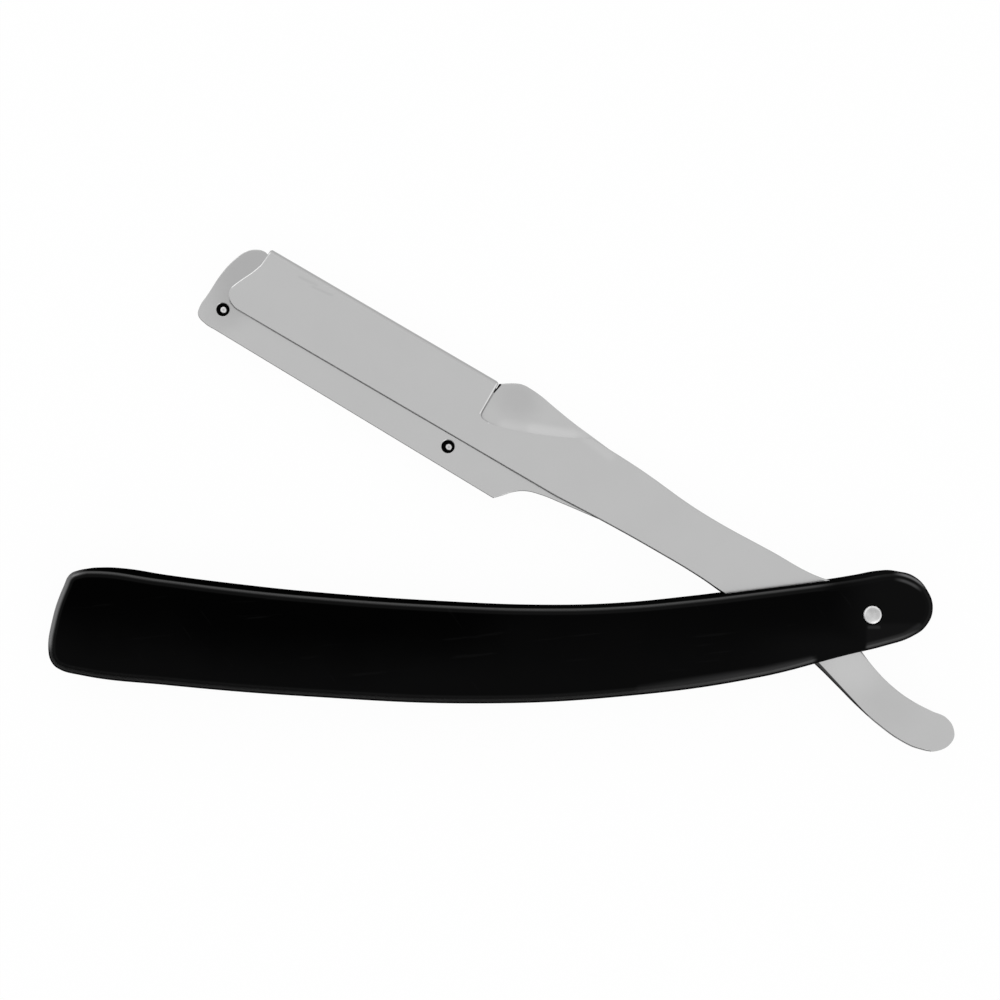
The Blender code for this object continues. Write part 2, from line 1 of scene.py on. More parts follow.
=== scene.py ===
"""Finished look of a folding barber razor, lying part way open on a white table.

The script is laid out as a Blender add-on and is run as a script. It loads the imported
solids as a fixed frame and puts a finely made piece in the place of each one. Pieces are
drawn round the pivot axis, as the solids are: handle pieces straight in X and Y, plates
along the arm, with X from the pivot to the nose and Y from the spine to the cutting edge.
Shapes are in metres; the places and sizes in the finishes are in millimetres.
"""

import math

import bmesh
import bpy
from bpy.props import FloatProperty, FloatVectorProperty, IntProperty, PointerProperty
from mathutils import Matrix, Vector


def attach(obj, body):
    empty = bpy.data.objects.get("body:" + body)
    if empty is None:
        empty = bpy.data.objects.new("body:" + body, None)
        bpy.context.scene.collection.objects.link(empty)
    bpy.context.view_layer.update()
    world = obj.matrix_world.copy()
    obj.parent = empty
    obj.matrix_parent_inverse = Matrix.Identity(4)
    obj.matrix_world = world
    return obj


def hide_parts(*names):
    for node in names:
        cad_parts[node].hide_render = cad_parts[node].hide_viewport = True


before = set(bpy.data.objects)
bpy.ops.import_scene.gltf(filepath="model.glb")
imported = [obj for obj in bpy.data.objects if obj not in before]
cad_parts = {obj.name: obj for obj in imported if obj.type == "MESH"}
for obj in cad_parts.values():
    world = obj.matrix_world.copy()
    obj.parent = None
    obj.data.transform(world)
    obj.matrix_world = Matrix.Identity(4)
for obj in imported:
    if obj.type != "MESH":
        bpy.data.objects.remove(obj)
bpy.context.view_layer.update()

bl_info = {
    "name": "Folding razor",
    "version": (1, 0, 0),
    "blender": (4, 5, 0),
    "location": "View3D > Sidebar > Razor",
    "description": "Makes the pieces of a folding barber razor and the table it lies on",
    "category": "Object",
}

MM = 0.001

# Where the pivot axis stands, and how the arm is turned from +X in the half-open pose
PIVOT = Vector((54.951 * MM, -17.032 * MM, 0))
ARM_ANGLE = math.radians(149.7)

# Handle
HANDLE_REACH = 122.6 * MM       # pivot to the far end
HANDLE_BELLY = 13.3 * MM        # pivot line to the lowest point of the belly
HALF_THICKNESS = 2.0 * MM
BACK_WALL = 1.1 * MM            # wall that closes the slot along the belly
NOSE_CLEARANCE = 1.5 * MM
TAIL_CLEARANCE = 1.0 * MM
REAR_EDGE_RISE = 0.12 * MM      # rear half's top edge over the front half's
BROKEN_EDGE = 0.12 * MM         # rounding of the edges that are left hard

# Steel plates
SHEET = 0.7 * MM
HEAD_REACH = 110.0 * MM         # pivot to the tip of the nose, along the arm
HEAD_DEPTH = 13.4 * MM          # arm's middle line to the heel of the cutting edge
FOLD_RADIUS = 1.0 * MM          # outside of the bend along the spine
FOLD_LINE = 1.0 * MM            # middle line to where the bend starts
FOLD_HEEL_REACH = 65.4 * MM
FOLD_NOSE_REACH = 105.0 * MM
FOLD_CORNER = 0.3 * MM          # rounding of the fold's heel end, seen from the front
SPARE_SPINE = 2.0 * MM          # drawn on past the bend's line, and cut off to bend there
SPARE_END = 0.5 * MM            # how far before the fold the cut starts
BEND_STRIP = 0.15 * MM          # strip of faces next to the bend
LIP_WIDTH = 2.5 * MM
SEAT_SPINE = 1.0 * MM
NOTCH_CLEARANCE = 0.1 * MM      # closer than the solids, to show as a dark line
TAIL_REACH = 22.8 * MM
LOBE_RADIUS = 4.4 * MM

# Levels over the table
LIP_BACK = 2.3 * MM
SEAT_BACK = 3.3 * MM
SEAT_FRONT = 4.0 * MM
CLAMP_BACK = 4.3 * MM
CLAMP_FRONT = 5.0 * MM
FRONT_WASHER_BACK = 5.3 * MM
JOINED_FRONT = 5.6 * MM
SLOT_FRONT = 5.9 * MM
HANDLE_FRONT = 7.9 * MM

# Round pieces
HOLE_RADIUS = 1.1 * MM
HOLE_RIM = 0.05 * MM
RIVET_RADIUS = 0.8 * MM
RIVET_HEAD_RADIUS = 1.35 * MM
RIVET_HEAD_HEIGHT = 0.5 * MM
RIVET_STAND = 0.15 * MM
RIVET_CROWN = 0.15 * MM
HEAD_RECESS_RADIUS = 1.55 * MM
HEAD_RECESS_RIM = 0.12 * MM
COLLAR_RADIUS = 1.7 * MM
COLLAR_THICKNESS = 0.35 * MM
PEEN_RADIUS = 1.25 * MM
PEEN_HEIGHT = 0.35 * MM
PEEN_SET_BACK = 0.15 * MM
REAR_RECESS_DEPTH = 1.09 * MM
WASHER_RADIUS = 3.2 * MM
FRONT_WASHER = 0.3 * MM
RING_CORNER = 0.05 * MM
PIN_PLACES = (("blade_pin_nose", 106.8 * MM, 9.5 * MM),
              ("blade_pin_heel", 67.2 * MM, 10.2 * MM))
PIN_HOLE_RADIUS = 0.95 * MM
PIN_RADIUS = 0.47 * MM
PIN_STAND = 0.3 * MM
PIN_ROUNDING = 0.12 * MM
PIN_LAND = 0.03 * MM            # flat ring inside the rounding of a pin's end
PIN_SET_BACK = 0.16 * MM
PIN_FLANGE_RADIUS = 1.5 * MM
PIN_FLANGE = 0.2 * MM
TURNED_CORNER = 0.04 * MM       # corners of the pins' flanges and of the hammered end
FIXED_GAP = 0.12 * MM           # between pieces that are fixed to each other
# Rivet head: shares of its radius, and of its crown over its rim
CROWN_SHARES = ((0, 1), (0.3, 0.97), (0.5, 0.88), (0.66, 0.70), (0.8, 0.42), (0.9, 0.1),
                (0.955, -0.15), (0.985, -0.5), (1, -1.2))
# Hammered end: shares of its radius, and how far its rounded back stands in
PEEN_BACK = ((0.97, 0.1 * MM), (0.85, 0.02 * MM), (0.6, 0))
# Sloping rim of a pin's hole: out from the hole, and down from the plate's front
PIN_HOLE_RIM = ((0.16 * MM, 0), (0.11 * MM, 0.018 * MM), (0.02 * MM, 0.08 * MM),
                (0, 0.12 * MM))

# Drawing
WELD = 0.001 * MM
OVERRUN = 1.0 * MM              # how far a cutter passes what it cuts
RIM_LAND = 0.05 * MM            # flat step where a rim meets its face
STRAIGHT = 0.0005               # radians, below which a corner isn't needed
UPRIGHT = 0.99                  # Z of the normal of a flat front or back face
SHARP_ANGLE = math.radians(35)
SMOOTH = "AUTO"
CORNER = "VECTOR"
HANDLE_CURVE_STEPS, SLOT_CURVE_STEPS, ARC_STEPS = 10, 8, 14
HANDLE_RIM_STEPS, INNER_RIM_STEPS, BACK_RIM_STEPS = 10, 3, 2
HOLE_FRONT_STEPS, HOLE_BACK_STEPS, BEND_STEPS = 4, 2, 9
CUTTER_SIDES, BROKEN_EDGE_STEPS = 64, 2

# Outlines are shares along and across; a point is smooth unless it says that it's a corner
# Far end of the handle: shares of the belly, in from the end and up from the pivot line
FAR_END_SHARES = (
    (0.106, -0.605), (0.037, -0.538), (0.000, -0.421), (0.037, -0.083), (0.175, 0.331),
    (0.240, 0.451), (0.341, 0.497), (0.512, 0.515),
)
# Pivot end: shares of the belly, towards the far end and up
PIVOT_END_SHARES = (
    (0.129, 0.430), (-0.141, 0.478), (-0.313, 0.481), (-0.484, 0.425), (-0.618, 0.285),
    (-0.687, 0.075), (-0.618, -0.120), (-0.461, -0.243), (-0.143, -0.353),
)
# Long edges: shares of the reach from the pivot to the far end, and of the belly
TOP_EDGE_SHARES = (
    (0.865, 0.423), (0.7785, 0.321), (0.692, 0.236), (0.5195, 0.122), (0.390, 0.081),
    (0.3035, 0.104), (0.217, 0.181), (0.1305, 0.280),
)
BELLY_SHARES = (
    (0.0285, -0.451), (0.1355, -0.703), (0.306, -0.921), (0.4755, -0.997), (0.688, -0.917),
    (0.859, -0.789), (0.962, -0.678),
)
# How much nearer the front half's top edge comes to the rear half's, edge point by point
FRONT_TOP_LIFTS = (0, 0, 0.003, 0.008, 0.014, 0.014, 0.008, 0.004)
# Ends of the rear half's raised edge
RISE_FAR_SHARE = (0.9135, 0.493)
RISE_NEAR_SHARE = (0.047, 0.372)

# Plate outlines: shares of the head's reach along the arm and of its depth across it
CLAMP_NOSE_SHARES = (
    (0.956, 0.060, CORNER), (0.960, 0.155), (0.973, 0.390), (0.9755, 0.460), (0.971, 0.565),
    (0.9585, 0.628), (0.9435, 0.636, CORNER),
)
ARM_EDGE_SHARES = (
    (0.450, 0.636, CORNER), (0.383, 0.612), (0.301, 0.598), (0.224, 0.605), (0.188, 0.630),
    (0.082, 0.710),
)
ARM_BACK_SHARES = (
    (0.078, -0.085), (0.161, -0.052), (0.269, -0.037), (0.368, -0.104),
    (0.445, -0.130, CORNER),
)
CUT_OUT_SHARES = (
    (0.485, 0.037), (0.536, 0.209), (0.5625, 0.280), (0.582, 0.298), (0.5925, 0.276),
)
NOTCH_FOOT_SHARE = 0.210
SEAT_NOSE_SHARES = (
    (0.9615, -0.088), (0.974, -0.055), (0.984, 0.025), (0.991, 0.150), (0.9965, 0.330),
    (0.9990, 0.640), (1.000, 0.820), (0.9965, 0.900), (0.982, 0.946), (0.965, 0.950, CORNER),
)
HEEL_SHARES = (
    (0.522, 1.005, CORNER), (0.513, 0.928), (0.5025, 0.833), (0.4895, 0.758), (0.469, 0.706),
    (0.436, 0.666), (0.391, 0.620), (0.340, 0.568), (0.224, 0.545), (0.120, 0.520),
    (0.062, 0.440),
)
SEAT_BACK_SHARES = (
    (0.078, -0.060), (0.161, -0.022), (0.269, -0.007), (0.368, -0.080), (0.412, -0.119),
    (0.446, -0.149), (0.4795, -0.179), (0.514, -0.224), (0.535, -0.254), (0.5505, -0.265),
    (0.565, -0.261), (0.575, -0.232), (0.584, -0.188),
)
EAR_FOOT_SHARE = 0.134

# Tail outline: shares of the tail's reach behind the pivot and across the arm
TAIL_SHARES = (
    (-0.092, 0.478), (0.053, 0.516), (0.246, 0.567), (0.434, 0.604), (0.610, 0.618),
    (0.724, 0.605), (0.838, 0.554), (0.893, 0.447), (0.868, 0.382), (0.785, 0.335),
    (0.680, 0.344), (0.535, 0.351), (0.390, 0.338), (0.219, 0.294), (0.053, 0.226, CORNER),
)
LOBE_ANGLES = (145, 180, 225, 270, 315)
SEAT_LOBE_ANGLES = (100, 140, 180, 225, 270, 315)

# How the stamped front edges turn down: steps inward and up from the cut edge
CLAMP_ROLL = ((0.04 * MM, 0.05 * MM), (0.08 * MM, 0.06 * MM), (0.08 * MM, 0.04 * MM),
              (0.05 * MM, 0.012 * MM), (0.05 * MM, 0))
SEAT_ROLL = ((0.03 * MM, 0.04 * MM), (0.04 * MM, 0.03 * MM), (0.04 * MM, 0.012 * MM),
             (0.05 * MM, 0))
# Stretches of the clamp plate's front edge that stay square: along and across the arm,
# and how far down the turned edge is found
SQUARE_EDGES = ((49.2 * MM, 63.6 * MM, -1.7 * MM, 4.4 * MM),
                (-23.5 * MM, -12.5 * MM, 6 * MM, 13.2 * MM))
ROLL_DEPTH = 0.2 * MM

# Painted highlights, painted shade and faint marks on the plates: start and end along
# and across the arm, width, softness, how much the width tapers, and how much lighter
# or darker the steel is
CLAMP_MARKS_AND_PAINTED_LIGHT = (
    # painted highlight along the notch edge of the clamp
    ((65.58, -1.6), (65.52, 3.5), 0.07, 0.08, 0.4, 0.42),
    # painted shade along the tail's lower edge
    ((3.4, 10.5), (-7.5, 13.3), 0.48, 0.12, 1.0, -0.9),
    ((99.2, -0.5), (96.4, -0.75), 0.05, 0.3, 0.0, -0.05),
    ((96.8, -0.2), (93.6, -0.6), 0.05, 0.3, 0.0, -0.05),
    # painted highlight: a soft light streak by the arm's back edge
    ((45.5, -0.8), (50.0, -1.3), 0.2, 0.9, 0.0, 0.05),
)
SEAT_PAINTED_LIGHT = (
    # painted shadow in the gap between the fold's end and the ear, and painted shade along
    # the notch
    ((65.28, -1.75), (65.32, -0.35), 0.3, 0.08, 0.8, -0.98),
    ((65.3, -0.3), (65.35, 3.3), 0.06, 0.1, 0.8, -0.25),
    # painted highlights: soft light streaks along the clamp's cut-out
    ((50.6, -1.1), (61.3, 3.4), 0.2, 1.5, 0.0, 0.08),
    ((52.0, -0.6), (57.5, 1.5), 0.3, 1.1, 0.0, 0.06),
)
# Lighter and darker places: middle along and across, reach along and across, and change
CLAMP_TONES = ((-1.6, 8.4, 6, 5, 0.07), (-10.1, 11.1, 6, 6, -0.04))
# The seat's places are painted shade: beside the clamp's nose edge and on the ear
SEAT_PAINTED_SHADE = ((106.8, 3.5, 6, 12, -0.16), (61.8, -1.1, 5.5, 4.5, -0.10))
BENT = (0.93, 0.62)             # upward part of the normal, from flat steel to bent steel in full painted shade
# Painted shade in the pin holes: a dark matt colour on the hole walls and on the pins
HOLE_SHADE_REACH = (0.3, 0.15)        # out from a pin hole's wall, from no painted shade to full
HOLE_SHADE_DEPTHS = (0.1, 0.22)      # down in a pin hole, from no painted shade to full
PIN_TIP = (0.08, 0.26, 0.68)    # darker middle of a pin: its reach, its end and its share
HOLE_SHADE_COLOUR = (0.004, 0.004, 0.004, 1)
TURNING_PITCH = 0.09            # between the rings that turning leaves
AXIS = (0, 0, 0)                # a point of the pivot's axis

# Tones of the plastic as shares of its colour
# belly is the tone of a painted reflection, sheen and bow are painted highlights
PLASTIC_TONES = {"far": 0.35, "middle": 0.85, "belly": 1.45, "end": 2.1, "worn": 3,
                 "sheen": 24, "bow": 60}
# Curve of the handle's top edge: from the pivot to its lowest point, its bend and its rise
TOP_CURVE = (50, 0.00143, 1.1)
PAINTED_REFLECTION_DEPTH = 15                # down from the top edge, for the painted reflection
PAINTED_REFLECTION_RANGE = (0.25, 1.05)            # shares of that depth, from no painted reflection to all of it
RIM_POLISH = (0.04, 0.24)       # at the start of a rim and where it is steep
POLISH = {"Coat Roughness": 0.28, "Coat IOR": 2.13}
# Where the handle's finish changes: along it (X), up it (Y) or through it (Z) from the
# pivot, or by how far a face looks up; a mask rises from the first value to the second
HANDLE_MASKS = {
    "lit": ("X", -86, -56),         # the painted reflection starts nearer to the top edge
    "middle": ("X", -62, -48),      # past the darker far part
    "end": ("X", -22, -6),          # lower side of the pivot end
    "end_low": ("Y", -1, -5),
    "lobe": ("X", -7, 1.5),         # all of the pivot end
    "under": ("X", -1.2, -0.6),     # below the rivet, up to the plates' edge
    "under_low": ("Y", -0.9, -1.7),
    "rim_start": ("facing", 0.999, 0.985),
    "rim": ("facing", 0.95, 0.87),
    "face": ("facing", 0.70, 0.80),     # all but the walls
    "held": ("X", -116.5, -120.5),      # far end, polished most
    "held_up": ("Y", -5.8, -3.9),
    "held_rim": ("facing", 0.97, 0.87),
    "held_face": ("facing", 0.3, 0.55),
    "low": ("Y", -2, -3),
    "seam_far": ("X", -9, -8),      # dull stretch of the belly's rim next to the tail
    "seam_near": ("X", -0.6, -1.2),
    "dull": ("X", -9, -5),          # dull rim over the pivot
    "sheen": ("X", -44, -18),
    "front": ("Z", SLOT_FRONT / MM, HANDLE_FRONT / MM - 1),
}
# Scratches: direction in degrees, stretch, detail, and the noise that shows as a scratch
SCRATCHES = ((6, (0.06, 1.1, 0.4), 4, 0.62, 0.72), (-52, (0.09, 1.5, 0.5), 3, 0.66, 0.76))
# Soft sheen on the handle: start, end, width, softness and level of each stroke
SHEEN_STROKES = (
    ((-34.5, -11.1), (-16.6, -8.5), 0.1, 0.9, 0.36),
    ((-16.6, -8.5), (-9.2, -6.9), 0.1, 0.9, 0.36),
    ((-0.6, -4.6), (4.6, -3.1), 0.05, 0.6, 0.24),
    ((4.6, -3.1), (6.9, -1.6), 0.02, 0.6, 0.2),
    ((-0.5, -1.85), (0.9, -1.85), 0.02, 0.4, 0.3),
)
# Bows of light on the pivot end: centre, radius, middle of the bow, width and reach
SHEEN_BOWS = (
    ((2.5, -1.9, 0), 7.25, (5.4, 4.7, 0), 0.36, 2.5),
    ((3.02, -0.59, 0), 6.7, (5.9, 5.4, 0), 0.3, 3.1),
)
BOW_CORE = 0.02                 # where a bow is at its full level, out from its line

# Stage: size in metres, azimuth and elevation in degrees and distance in metres
KEY_LAMP = ((0.9, 0.3), 112, 27, 0.9)
FILL_LAMP = ((0.34, 0.45), -63, 38, 0.9)
DARK_CARD = ((1.6, 0.75), -125, 30, 0.8)
TABLE_SIZE = (6, 6)
TABLE_DROP = 0.02 * MM
TABLE_GREYS = (0.90, 0.93)
CARD_GREYS = (0.26, 0.30)
TABLE_GLOW = 0.96               # share of plain white in the table, as it is seen
SKY = (0.12, 0.35)              # height of view from the white horizon to the ceiling
CAMERA_PLACE = (-0.389 * MM, 0.028 * MM, 334.6 * MM)
SENSOR_WIDTH = 36
NEAR_CLIP = 0.01


class RazorHandle(bpy.types.PropertyGroup):
    """Shape and finish of the two handle halves."""

    rim_depth: FloatProperty(
        name="Rim depth", description="How far down the rims round off",
        default=1.1 * MM, unit="LENGTH")
    rim_reach: FloatProperty(
        name="Rim reach", description="How far in the rims round off",
        default=1.5 * MM, unit="LENGTH")
    inner_rim: FloatProperty(
        name="Inner rim", description="Rounding of the slot's rims",
        default=0.2 * MM, unit="LENGTH")
    colour: FloatVectorProperty(
        name="Colour", description="Colour of the plastic",
        default=(0.0023, 0.0023, 0.00235), size=3, subtype="COLOR")
    roughness: FloatProperty(
        name="Roughness", description="Roughness of the plastic",
        default=0.3, subtype="FACTOR")


class RazorPlates(bpy.types.PropertyGroup):
    """Shape and finish of the two steel plates."""

    curve_steps: IntProperty(
        name="Curve steps", description="Steps from point to point", default=16)
    back_rim: FloatProperty(
        name="Back rim", description="Rounding of the back rims",
        default=0.06 * MM, unit="LENGTH")
    colour: FloatVectorProperty(
        name="Colour", description="Colour of the steel",
        default=(0.60, 0.60, 0.60), size=3, subtype="COLOR")
    roughness: FloatProperty(
        name="Roughness", description="Roughness of the satin steel",
        default=0.22, subtype="FACTOR")
    # Painted shade on bent and tilted steel
    bend_painted_shade: FloatProperty(
        name="Bend painted shade", description="How much darker steel is where it is bent",
        default=0.34, subtype="FACTOR")


class RazorFittings(bpy.types.PropertyGroup):
    """Shape and finish of the rivet, the pins and their rings."""

    round_steps: IntProperty(
        name="Round steps", description="Steps round a turned piece", default=64)
    colour: FloatVectorProperty(
        name="Colour", description="Colour of the bright steel",
        default=(0.68, 0.68, 0.68), size=3, subtype="COLOR")
    roughness: FloatProperty(
        name="Roughness", description="Roughness of the bright steel",
        default=0.28, subtype="FACTOR")


class RazorStage(bpy.types.PropertyGroup):
    """Table, light and camera."""

    key_level: FloatProperty(
        name="Key level", description="Brightness of the main light", default=1.4)
    fill_level: FloatProperty(
        name="Fill level", description="Brightness of the low light", default=1.4)
    ambient: FloatProperty(
        name="Ambient", description="Brightness of the room", default=0.88)
    ceiling: FloatProperty(
        name="Ceiling", description="Brightness overhead, as steel shows it", default=0.83)
    lens: FloatProperty(
        name="Lens", description="Focal length of the camera in mm", default=79.2)


class Socket:
    """A value inside a finish, on which Python's arithmetic adds Math nodes."""

    def __init__(self, nodes, output):
        self.nodes = nodes
        self.output = output

    def math(self, operation, *values):
        """A Math node of this value and others."""
        return self.nodes.add("Math", {"operation": operation},
                              dict(enumerate((self, *values))))

    def __add__(self, other):
        return self.math("ADD", other)

    def __mul__(self, other):
        return self.math("MULTIPLY", other)

    def __sub__(self, other):
        return self.math("SUBTRACT", other)

    def __rsub__(self, other):
        return self.nodes.add("Math", {"operation": "SUBTRACT"}, {0: other, 1: self})

    def __pow__(self, other):
        return self.math("POWER", other)

    __radd__ = __add__
    __rmul__ = __mul__


class Nodes:
    """Builds the nodes of a finish or of the world."""

    def __init__(self, owner):
        owner.use_nodes = True
        self.tree = owner.node_tree
        self.tree.nodes.clear()

    def add(self, kind, settings, values, output=0):
        """Add a node: its settings first, then its sockets' values or links."""
        node = self.tree.nodes.new("ShaderNode" + kind)
        for name, value in settings.items():
            setattr(node, name, value)
        for name, value in values.items():
            socket = node.inputs[name]
            if isinstance(value, Socket):
                self.tree.links.new(value.output, socket)
            else:
                socket.default_value = value
        return Socket(self, node.outputs[output]) if node.outputs else None

    def vector(self, operation, *values, output=0):
        """A Vector Math node of some vectors."""
        return self.add("VectorMath", {"operation": operation}, dict(enumerate(values)),
                        output)

    def scaled(self, vector, share):
        """A vector or a colour times a number."""
        return self.add("VectorMath", {"operation": "SCALE"}, {0: vector, "Scale": share})

    def coordinates(self, turn=0.0, stretch=(1, 1, 1)):
        """Object coordinates from the pivot in millimetres, turned and stretched."""
        place = self.add("TexCoord", {}, {}, "Object")
        centred = self.vector("SUBTRACT", place, tuple(PIVOT))
        turned = self.add("VectorRotate", {"rotation_type": "Z_AXIS"},
                          {"Vector": centred, "Angle": -turn})
        return self.vector("MULTIPLY", turned, tuple(share / MM for share in stretch))

    def noise(self, place, scale, detail=2.0, roughness=0.5):
        """Soft noise between 0 and 1."""
        return self.add("TexNoise", {}, {"Vector": place, "Scale": scale, "Detail": detail,
                                         "Roughness": roughness}, "Fac")

    def between(self, value, low, high, start=0.0, end=1.0):
        """Spread a value over a range, from start where it is low to end where high."""
        return self.add("MapRange", {"clamp": True, "interpolation_type": "SMOOTHSTEP"},
                        {"Value": value, "From Min": low, "From Max": high,
                         "To Min": start, "To Max": end}, "Result")

    def mix(self, share, first, second):
        """Mix two colours."""
        return self.add("Mix", {"data_type": "RGBA"}, {0: share, 6: first, 7: second}, 2)

    def part(self, vector, axis):
        """One coordinate of a vector."""
        return self.add("SeparateXYZ", {}, {"Vector": vector}, axis)

    def facing(self):
        """How far a face looks up or down: 1 where it lies flat, 0 where it stands."""
        normal = self.add("TexCoord", {}, {}, "Normal")
        return self.part(normal, "Z").math("ABSOLUTE")

    def distance(self, vector, centre, axes=(1, 1, 0)):
        """Distance of a place from a centre, along the axes that are 1."""
        away = self.vector("MULTIPLY", self.vector("SUBTRACT", vector, centre), axes)
        return self.vector("LENGTH", away, output="Value")

    def stroke(self, place, start, end, width, softness, taper=0.0):
        """1 on a flat stroke between two points, 0 away from it."""
        run = (end[0] - start[0], end[1] - start[1], 0)
        flat = self.vector("MULTIPLY", self.vector("SUBTRACT", place, (*start, 0)),
                           (1, 1, 0))
        onward = self.vector("DOT_PRODUCT", flat, run, output="Value")
        share = self.add("Math", {"operation": "DIVIDE", "use_clamp": True},
                         {0: onward, 1: run[0] ** 2 + run[1] ** 2})
        aside = self.vector("DISTANCE", flat, self.scaled(run, share), output="Value")
        return self.between(aside + share * (width * taper), width + softness, width)

    def bump(self, strength, depth, height):
        """A relief on the surface."""
        return self.add("Bump", {}, {"Strength": strength, "Distance": depth,
                                     "Height": height})


def colour(levels):
    """A colour with full cover."""
    return (*levels, 1.0)


def grey(level):
    """A grey with full cover."""
    return colour((level, level, level))


def highest(masks):
    """The highest of some masks, place by place."""
    top, *others = masks
    for mask in others:
        top = top.math("MAXIMUM", mask)
    return top


def new_finish(name):
    """An empty material and its node builder."""
    material = bpy.data.materials.new(name)
    return material, Nodes(material)


def finish_surface(nodes, values):
    """Close a material with one Principled shader."""
    shader = nodes.add("BsdfPrincipled", {}, {"Specular IOR Level": 0.0, **values}, "BSDF")
    nodes.add("OutputMaterial", {}, {"Surface": shader})


def black_plastic(settings):
    """Moulded black plastic: painted reflection and sheen, hair scratches, rims polished by
    the hand.
    """
    material, nodes = new_finish("black_plastic")
    place = nodes.coordinates()
    cloud = nodes.noise(place, 0.07, 3)
    grain = nodes.noise(place, 2.6)
    marks = highest([
        nodes.between(nodes.noise(nodes.coordinates(math.radians(turn), stretch), 1.0,
                                  detail, 0.6), low, high)
        for turn, stretch, detail, low, high in SCRATCHES])
    ways = {axis: nodes.part(place, axis) for axis in "XYZ"}
    ways["facing"] = nodes.facing()
    mask = {name: nodes.between(ways[way], low, high)
            for name, (way, low, high) in HANDLE_MASKS.items()}
    tones = {name: colour([level * share for level in settings.colour])
             for name, share in PLASTIC_TONES.items()}

    # Painted reflection, lighter from the curved top edge down to the belly and towards the
    # pivot
    lowest, bend_share, rise = TOP_CURVE
    top_line = (ways["X"] + lowest) ** 2 * bend_share + rise
    depth = (top_line - ways["Y"]) * (1 / PAINTED_REFLECTION_DEPTH) + (cloud - 0.5) * 0.5
    dark = nodes.mix(mask["middle"], tones["far"], tones["middle"])
    painted_reflection = nodes.between(depth + mask["lit"] * 0.25, *PAINTED_REFLECTION_RANGE)
    tone = nodes.mix(painted_reflection, dark, tones["belly"])
    end = highest([mask["end"] * mask["end_low"] * 0.8, mask["lobe"]])
    tone = nodes.mix(end, tone, tones["end"])
    worn = highest([mask["under"] * mask["under_low"], marks * 0.35])
    tone = nodes.mix(worn, tone, tones["worn"])

    # Rims are polished, most of all at the far end, which is held most; walls are matt
    slope = mask["rim_start"] * RIM_POLISH[0] + mask["rim"] * RIM_POLISH[1]
    held = mask["held"] * mask["held_rim"] * mask["held_face"] * mask["held_up"]
    seam = mask["low"] * mask["seam_far"] * mask["seam_near"]
    kept = 1 - highest([seam, mask["dull"] * (1 - mask["low"]) * 0.8])
    polish = slope * mask["face"] * kept + held

    # Soft sheen along the belly, round the rivet and on the pivot end
    sheen = highest([nodes.stroke(place, *stroke) * level
                     for *stroke, level in SHEEN_STROKES]) * mask["sheen"]
    bows = []
    for centre, radius, middle, width, reach in SHEEN_BOWS:
        aside = (nodes.distance(place, centre) - radius).math("ABSOLUTE")
        bows.append(nodes.between(aside, width, BOW_CORE)
                    * nodes.between(nodes.distance(place, middle), reach, reach * 0.3))
    tone = nodes.mix(highest([sheen * mask["face"] * (1 - seam), bows[0]]), tone,
                     tones["sheen"])
    tone = nodes.mix(bows[1] * mask["front"], tone, tones["bow"])

    rough = settings.roughness + (cloud - 0.5) * 0.10 + marks * 0.10
    finish_surface(nodes, {
        "Base Color": tone, "Roughness": rough, "Coat Weight": polish, **POLISH,
        "Normal": nodes.bump(0.08, 0.02 * MM, grain * 0.25 + marks * 0.5)})
    return material


def finish_steel(nodes, settings, share, hole_shade, rough, bump):
    """Close a steel finish: its colour times a share, under matt painted shade where there is
    any.
    """
    tone = nodes.scaled(tuple(settings.colour), share)
    metal = 1.0
    if hole_shade is not None:
        tone = nodes.mix(hole_shade, tone, HOLE_SHADE_COLOUR)
        metal = 1 - hole_shade
    finish_surface(nodes, {"Base Color": tone, "Metallic": metal, "Roughness": rough,
                           "Normal": bump})


def satin_steel(settings, name, toned_places, marks, holes=()):
    """Satin sheet steel: fine lengthwise brushing under a faint mottle, painted shade where
    bent.

    Toned places are as in CLAMP_TONES, and on the seat painted shade; marks are as in
    CLAMP_MARKS_AND_PAINTED_LIGHT, mostly painted highlights and painted shade. Painted shade
    fills the pin holes, which are given by the places of their middles.
    """
    material, nodes = new_finish(name)
    place = nodes.coordinates()
    plate = nodes.coordinates(ARM_ANGLE)
    mottle = nodes.noise(place, 0.16, 4, 0.6)
    brush = nodes.noise(nodes.coordinates(ARM_ANGLE, (0.12, 5.2, 0.9)), 1.0, 3, 0.6)
    grain = nodes.noise(place, 5.2)
    # Painted shade: the steel is darker where its faces tilt, on the bend and the turned
    # edges
    share = 1 - nodes.between(nodes.facing(), *BENT) * settings.bend_painted_shade
    for along, across, reach, spread, change in toned_places:
        away = nodes.distance(plate, (along, across, 0), (1 / reach, 1 / spread, 0))
        share = share * (1 + nodes.between(away + (mottle - 0.5) * 0.3, 1.0, 0.2) * change)
    # Painted highlights, painted shade and a few faint lines, as strokes
    for *stroke, change in marks:
        share = share * (1 + nodes.stroke(plate, *stroke) * change)
    share = share * (1 + (mottle - 0.5) * 0.05)
    hole_shade = None
    # Painted shade on the walls of the pin holes
    if holes:
        out = [PIN_HOLE_RADIUS / MM + gap for gap in HOLE_SHADE_REACH]
        down = [SEAT_FRONT / MM - gap for gap in HOLE_SHADE_DEPTHS]
        hole_shade = highest([nodes.between(nodes.distance(plate, hole), *out)
                         for hole in holes]) * nodes.between(nodes.part(place, "Z"), *down)
    rough = settings.roughness + (mottle - 0.5) * 0.05 + (brush - 0.5) * 0.08
    bump = nodes.bump(0.03, 0.01 * MM, brush * 0.7 + grain * 0.3)
    finish_steel(nodes, settings, share, hole_shade, rough, bump)
    return material


